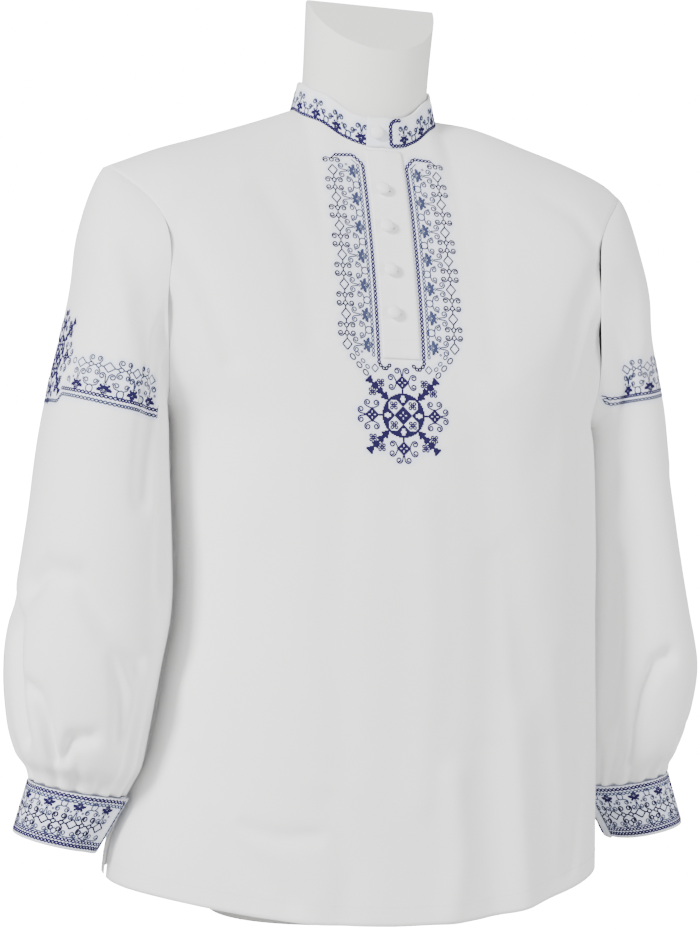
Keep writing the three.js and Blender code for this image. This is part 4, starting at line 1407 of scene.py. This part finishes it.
heights = [0, 3, 8] + [8 + 730 * k / 96 for k in range(1, 97)]
form = skin("torso_form", heights, form_point, 128)
neck = skin("torso_neck", [660 + 220 * k / 40 for k in range(41)], neck_ring, 96)
slice_neck(neck)
union = form.modifiers.new("neck", "BOOLEAN")
union.operation, union.object, union.solver = "UNION", neck, "EXACT"
bpy.context.view_layer.update()
whole = bpy.data.meshes.new_from_object(form.evaluated_get(bpy.context.evaluated_depsgraph_get()))
form.modifiers.clear()
form.data = whole
bpy.data.objects.remove(neck)
whole.shade_smooth()
soft = form.modifiers.new("rounded_edges", "BEVEL")
soft.affect, soft.width, soft.segments, soft.profile, soft.material = "EDGES", 2.5 * MM, 3, 0.5, -1
soft.limit_method, soft.angle_limit = "ANGLE", math.radians(40)
form.modifiers.new("normals", "WEIGHTED_NORMAL").keep_sharp = True
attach(form, "root")
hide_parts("form")
print("form:", len(whole.polygons), "faces")

# %% [markdown]
# Materials. Every colour is given as it is read from a colour chart and turned into linear light by one
# function, and nodes are added by one helper. The cloth's pattern is laid on its own texture coordinates,
# which are in metres, so each scale below comes from a real size.

# %% Helpers for materials
def linear(colour):
    values = [int(colour[k:k + 2], 16) / 255 for k in (1, 3, 5)]
    return (*[v / 12.92 if v <= 0.04045 else ((v + 0.055) / 1.055) ** 2.4 for v in values], 1.0)


def add_node(tree, kind, inputs=None, **settings):
    made = tree.nodes.new(kind)
    for key, value in settings.items():
        setattr(made, key, value)
    for socket, value in (inputs or {}).items():
        if isinstance(value, bpy.types.NodeSocket):
            tree.links.new(value, made.inputs[socket])
        else:
            made.inputs[socket].default_value = value
    return made


def start_material(material, finish):
    material.use_nodes = True
    tree = material.node_tree
    tree.nodes.clear()
    shader = add_node(tree, "ShaderNodeBsdfPrincipled", finish)
    add_node(tree, "ShaderNodeOutputMaterial", {"Surface": shader.outputs[0]})
    return tree, shader


def mixed(tree, share, first, second):
    mix = add_node(tree, "ShaderNodeMix", data_type="RGBA")
    for socket, value in ((0, share), (6, first), (7, second)):
        if isinstance(value, bpy.types.NodeSocket):
            tree.links.new(value, mix.inputs[socket])
        else:
            mix.inputs[socket].default_value = value
    return mix.outputs[2]


def thread_count(pitch):
    # the Wave node has a period of a tenth of pi divided by its scale
    return math.pi / 10 / (pitch * MM)


print("a wave of 0.5 mm needs the scale", round(thread_count(0.5)))

# %% [markdown]
# The cloth is fine plain-weave cotton, about 45 threads to the inch. Warp and weft are two sets of waves; a
# noise drawn out along the weft stands for the uneven yarn, and a broader one for the soft rumples that stay
# after ironing. A low sheen gives the faint bloom of its fibres at the edges.

# %% Cotton
def weave(tree, place, pitch):
    waves = []
    for axis in ("X", "Y"):
        waves.append(add_node(tree, "ShaderNodeTexWave", {
            "Vector": place, "Scale": thread_count(pitch), "Distortion": 0.6, "Detail": 1.0,
            "Detail Scale": 0.4,
        }, wave_type="BANDS", bands_direction=axis).outputs[1])
    return add_node(tree, "ShaderNodeMath", {0: waves[0], 1: waves[1]}, operation="MULTIPLY").outputs[0]


def cotton(name, colour, warm, ground, on_object=False, pitch=0.55):
    material = bpy.data.materials.new(name)
    tree, shader = start_material(material, {
        "Roughness": 0.88, "Specular IOR Level": 0.25, "Sheen Weight": 0.18, "Sheen Roughness": 0.5,
    })
    source = add_node(tree, "ShaderNodeTexCoord")
    place = source.outputs["Object" if on_object else "UV"]
    drawn_out = add_node(tree, "ShaderNodeMapping", {"Vector": place, "Scale": (60, 1600, 1600)}).outputs[0]
    slub = add_node(tree, "ShaderNodeTexNoise", {"Vector": drawn_out, "Scale": 1.0, "Detail": 2.0})
    rumple = add_node(tree, "ShaderNodeTexNoise", {"Vector": place, "Scale": 55.0, "Detail": 3.0})
    patch = add_node(tree, "ShaderNodeTexNoise", {"Vector": place, "Scale": 9.0, "Detail": 2.0})
    yarn = mixed(tree, slub.outputs[0], linear(colour), linear(warm))
    aged = mixed(tree, patch.outputs[0], yarn, linear(colour))
    tint = add_node(tree, "ShaderNodeAttribute", attribute_name="tint").outputs["Fac"]
    share = add_node(tree, "ShaderNodeMath", {0: tint, 1: 0.6}, operation="MULTIPLY").outputs[0]
    tree.links.new(mixed(tree, share, aged, linear(ground)), shader.inputs["Base Color"])
    coarse = add_node(tree, "ShaderNodeBump", {"Height": rumple.outputs[0], "Strength": 0.35,
                                               "Distance": 1.1 * MM})
    fine = add_node(tree, "ShaderNodeBump", {"Height": weave(tree, place, pitch), "Strength": 0.3,
                                             "Distance": 0.12 * MM, "Normal": coarse.outputs[0]})
    tree.links.new(fine.outputs[0], shader.inputs["Normal"])
    return material


body_cotton = cotton("white_cotton", "#f4f4f4", "#efeeeb", "#cdd3f0")
band_cotton = cotton("banded_cotton", "#eeeff4", "#e8e9ee", "#c9d1f0", pitch=0.5)
button_cotton = cotton("button_cotton", "#f0f0f0", "#e9e8e4", "#ffffff", on_object=True, pitch=0.5)
for cloth in (front, back, placket, *sleeves.values()):
    cloth.data.materials.append(body_cotton)
for cloth in (collar, *cuffs.values()):
    cloth.data.materials.append(band_cotton)
for made in buttons.values():
    made.data.materials.append(button_cotton)
print("cotton materials:", body_cotton.name, band_cotton.name, button_cotton.name)

# %% [markdown]
# Embroidery thread is a soft two-ply yarn with a little shine. The twist is a fine slanting wave, and the
# dye is uneven along it. The slit of a buttonhole takes the same finish in dark greys, which are painted
# shade for the hollow inside it.

# %% Thread
def thread(material, colour, second_colour):
    finish = {"Roughness": 0.8, "Specular IOR Level": 0.2, "Sheen Weight": 0.02}
    tree, shader = start_material(material, finish)
    place = add_node(tree, "ShaderNodeTexCoord").outputs["Object"]
    mottle = add_node(tree, "ShaderNodeTexNoise", {"Vector": place, "Scale": 420.0, "Detail": 3.0})
    ply = add_node(tree, "ShaderNodeTexWave", {
        "Vector": place, "Scale": thread_count(0.7), "Distortion": 1.5,
    }, wave_type="BANDS", bands_direction="DIAGONAL")
    mottled = mixed(tree, mottle.outputs[0], linear(colour), linear(second_colour))
    tree.links.new(mottled, shader.inputs["Base Color"])
    twist = {"Height": ply.outputs[1], "Strength": 0.5, "Distance": 0.15 * MM}
    bump = add_node(tree, "ShaderNodeBump", twist)
    tree.links.new(bump.outputs[0], shader.inputs["Normal"])


# the last pair of greys is painted shade for the buttonhole slits; the others are the threads' own dyes
for material, colour, second_colour in zip(
    THREADS_AND_SHADE,
    ("#150b3c", "#303654", "#272b48", "#15112c", "#f3f3f3", "#45443e"),
    ("#1e1348", "#404768", "#353a58", "#1e1a38", "#e6e6e6", "#55544e"),
):
    thread(material, colour, second_colour)
print("threads:", [material.name for material in THREADS_AND_SHADE])

# %% [markdown]
# The form is a moulded shell with a matt, slightly warm white finish: a very fine grain, and a faint
# unevenness that comes from the mould.

# %% Form shell
shell = bpy.data.materials.new("form_shell")
tree, shader = start_material(shell, {"Roughness": 0.6, "Specular IOR Level": 0.35})
place = add_node(tree, "ShaderNodeTexCoord").outputs["Object"]
grain = add_node(tree, "ShaderNodeTexNoise", {"Vector": place, "Scale": 1400.0, "Detail": 2.0})
cloudy = add_node(tree, "ShaderNodeTexNoise", {"Vector": place, "Scale": 14.0, "Detail": 3.0})
skin_colour = mixed(tree, cloudy.outputs[0], linear("#e9e9e6"), linear("#e3e3df"))
tree.links.new(skin_colour, shader.inputs["Base Color"])
bump = add_node(tree, "ShaderNodeBump", {"Height": grain.outputs[0], "Strength": 0.25, "Distance": 0.1 * MM})
tree.links.new(bump.outputs[0], shader.inputs["Normal"])
form.data.materials.clear()
form.data.materials.append(shell)
print("form shell ready")

# %% [markdown]
# The shirt stands in a bright white studio: a white floor and surround, one broad soft light high on the
# left that models the folds, and a weaker one on the right. The floor and the surround are shown brighter
# than they light the cloth, so that they wash out to plain white.

# %% Camera, light and floor
camera = put_in_scene("camera", bpy.data.cameras.new("camera"))
camera.data.sensor_fit = "VERTICAL"
camera.data.sensor_height = 36
camera.data.lens = 36 * 2032 / 932
camera.data.shift_x = -0.0138
camera.data.shift_y = -0.0275
look = Vector((0.2924, 0.9563, 0)).to_track_quat("-Z", "Y").to_matrix()
roll = Matrix.Rotation(math.radians(2), 3, "Z")
camera.matrix_world = Matrix.Translation((-0.5555, -1.8170, 0.433)) @ (look @ roll).to_4x4()
bpy.context.scene.camera = camera

SHOWN, LIGHTING = 20.0, 0.6
world = bpy.data.worlds.new("studio")
bpy.context.scene.world = world
world.use_nodes = True
tree = world.node_tree
tree.nodes.clear()
seen = add_node(tree, "ShaderNodeLightPath").outputs["Is Camera Ray"]
strength = add_node(tree, "ShaderNodeMapRange", {"Value": seen, "To Min": LIGHTING, "To Max": SHOWN})
sky = add_node(tree, "ShaderNodeBackground", {"Color": (1, 1, 1, 1), "Strength": strength.outputs[0]})
add_node(tree, "ShaderNodeOutputWorld", {"Surface": sky.outputs[0]})


def softbox(name, place, size, power):
    light = bpy.data.lights.new(name, "AREA")
    light.shape, light.size, light.energy = "SQUARE", size, power
    lamp = put_in_scene(name, light)
    aim = (Vector((0, 0, 0.45)) - Vector(place)).to_track_quat("-Z", "Y")
    lamp.matrix_world = Matrix.Translation(place) @ aim.to_matrix().to_4x4()


softbox("key", (-2.6, -1.7, 1.6), 0.8, 195)
softbox("fill", (2.6, -1.8, 1.0), 1.6, 75)
softbox("front", (-0.9, -3.2, 0.7), 1.2, 30)

bpy.ops.mesh.primitive_plane_add(size=16)
floor = bpy.context.object
floor.name = "studio_floor"
paper = bpy.data.materials.new("white_paper")
tree, shader = start_material(paper, {"Roughness": 0.9})
place = add_node(tree, "ShaderNodeTexCoord").outputs["Object"]
fibre = add_node(tree, "ShaderNodeTexNoise", {"Vector": place, "Scale": 300.0, "Detail": 2.0})
paper_colour = mixed(tree, fibre.outputs[0], linear("#f4f4f4"), linear("#fbfbfb"))
tree.links.new(paper_colour, shader.inputs["Base Color"])
glow = add_node(tree, "ShaderNodeEmission", {"Color": (1, 1, 1, 1), "Strength": SHOWN})
bounce = add_node(tree, "ShaderNodeEmission", {"Color": (1, 1, 1, 1), "Strength": LIGHTING})
soft = add_node(tree, "ShaderNodeMixShader", {0: 0.6, 1: shader.outputs[0], 2: bounce.outputs[0]})
seen = add_node(tree, "ShaderNodeLightPath").outputs["Is Camera Ray"]
lit = add_node(tree, "ShaderNodeMixShader", {0: seen, 1: soft.outputs[0], 2: glow.outputs[0]})
for made in tree.nodes:
    if made.type == "OUTPUT_MATERIAL":
        tree.links.new(lit.outputs[0], made.inputs["Surface"])
floor.data.materials.append(paper)
print("camera at", [round(v, 3) for v in camera.location])
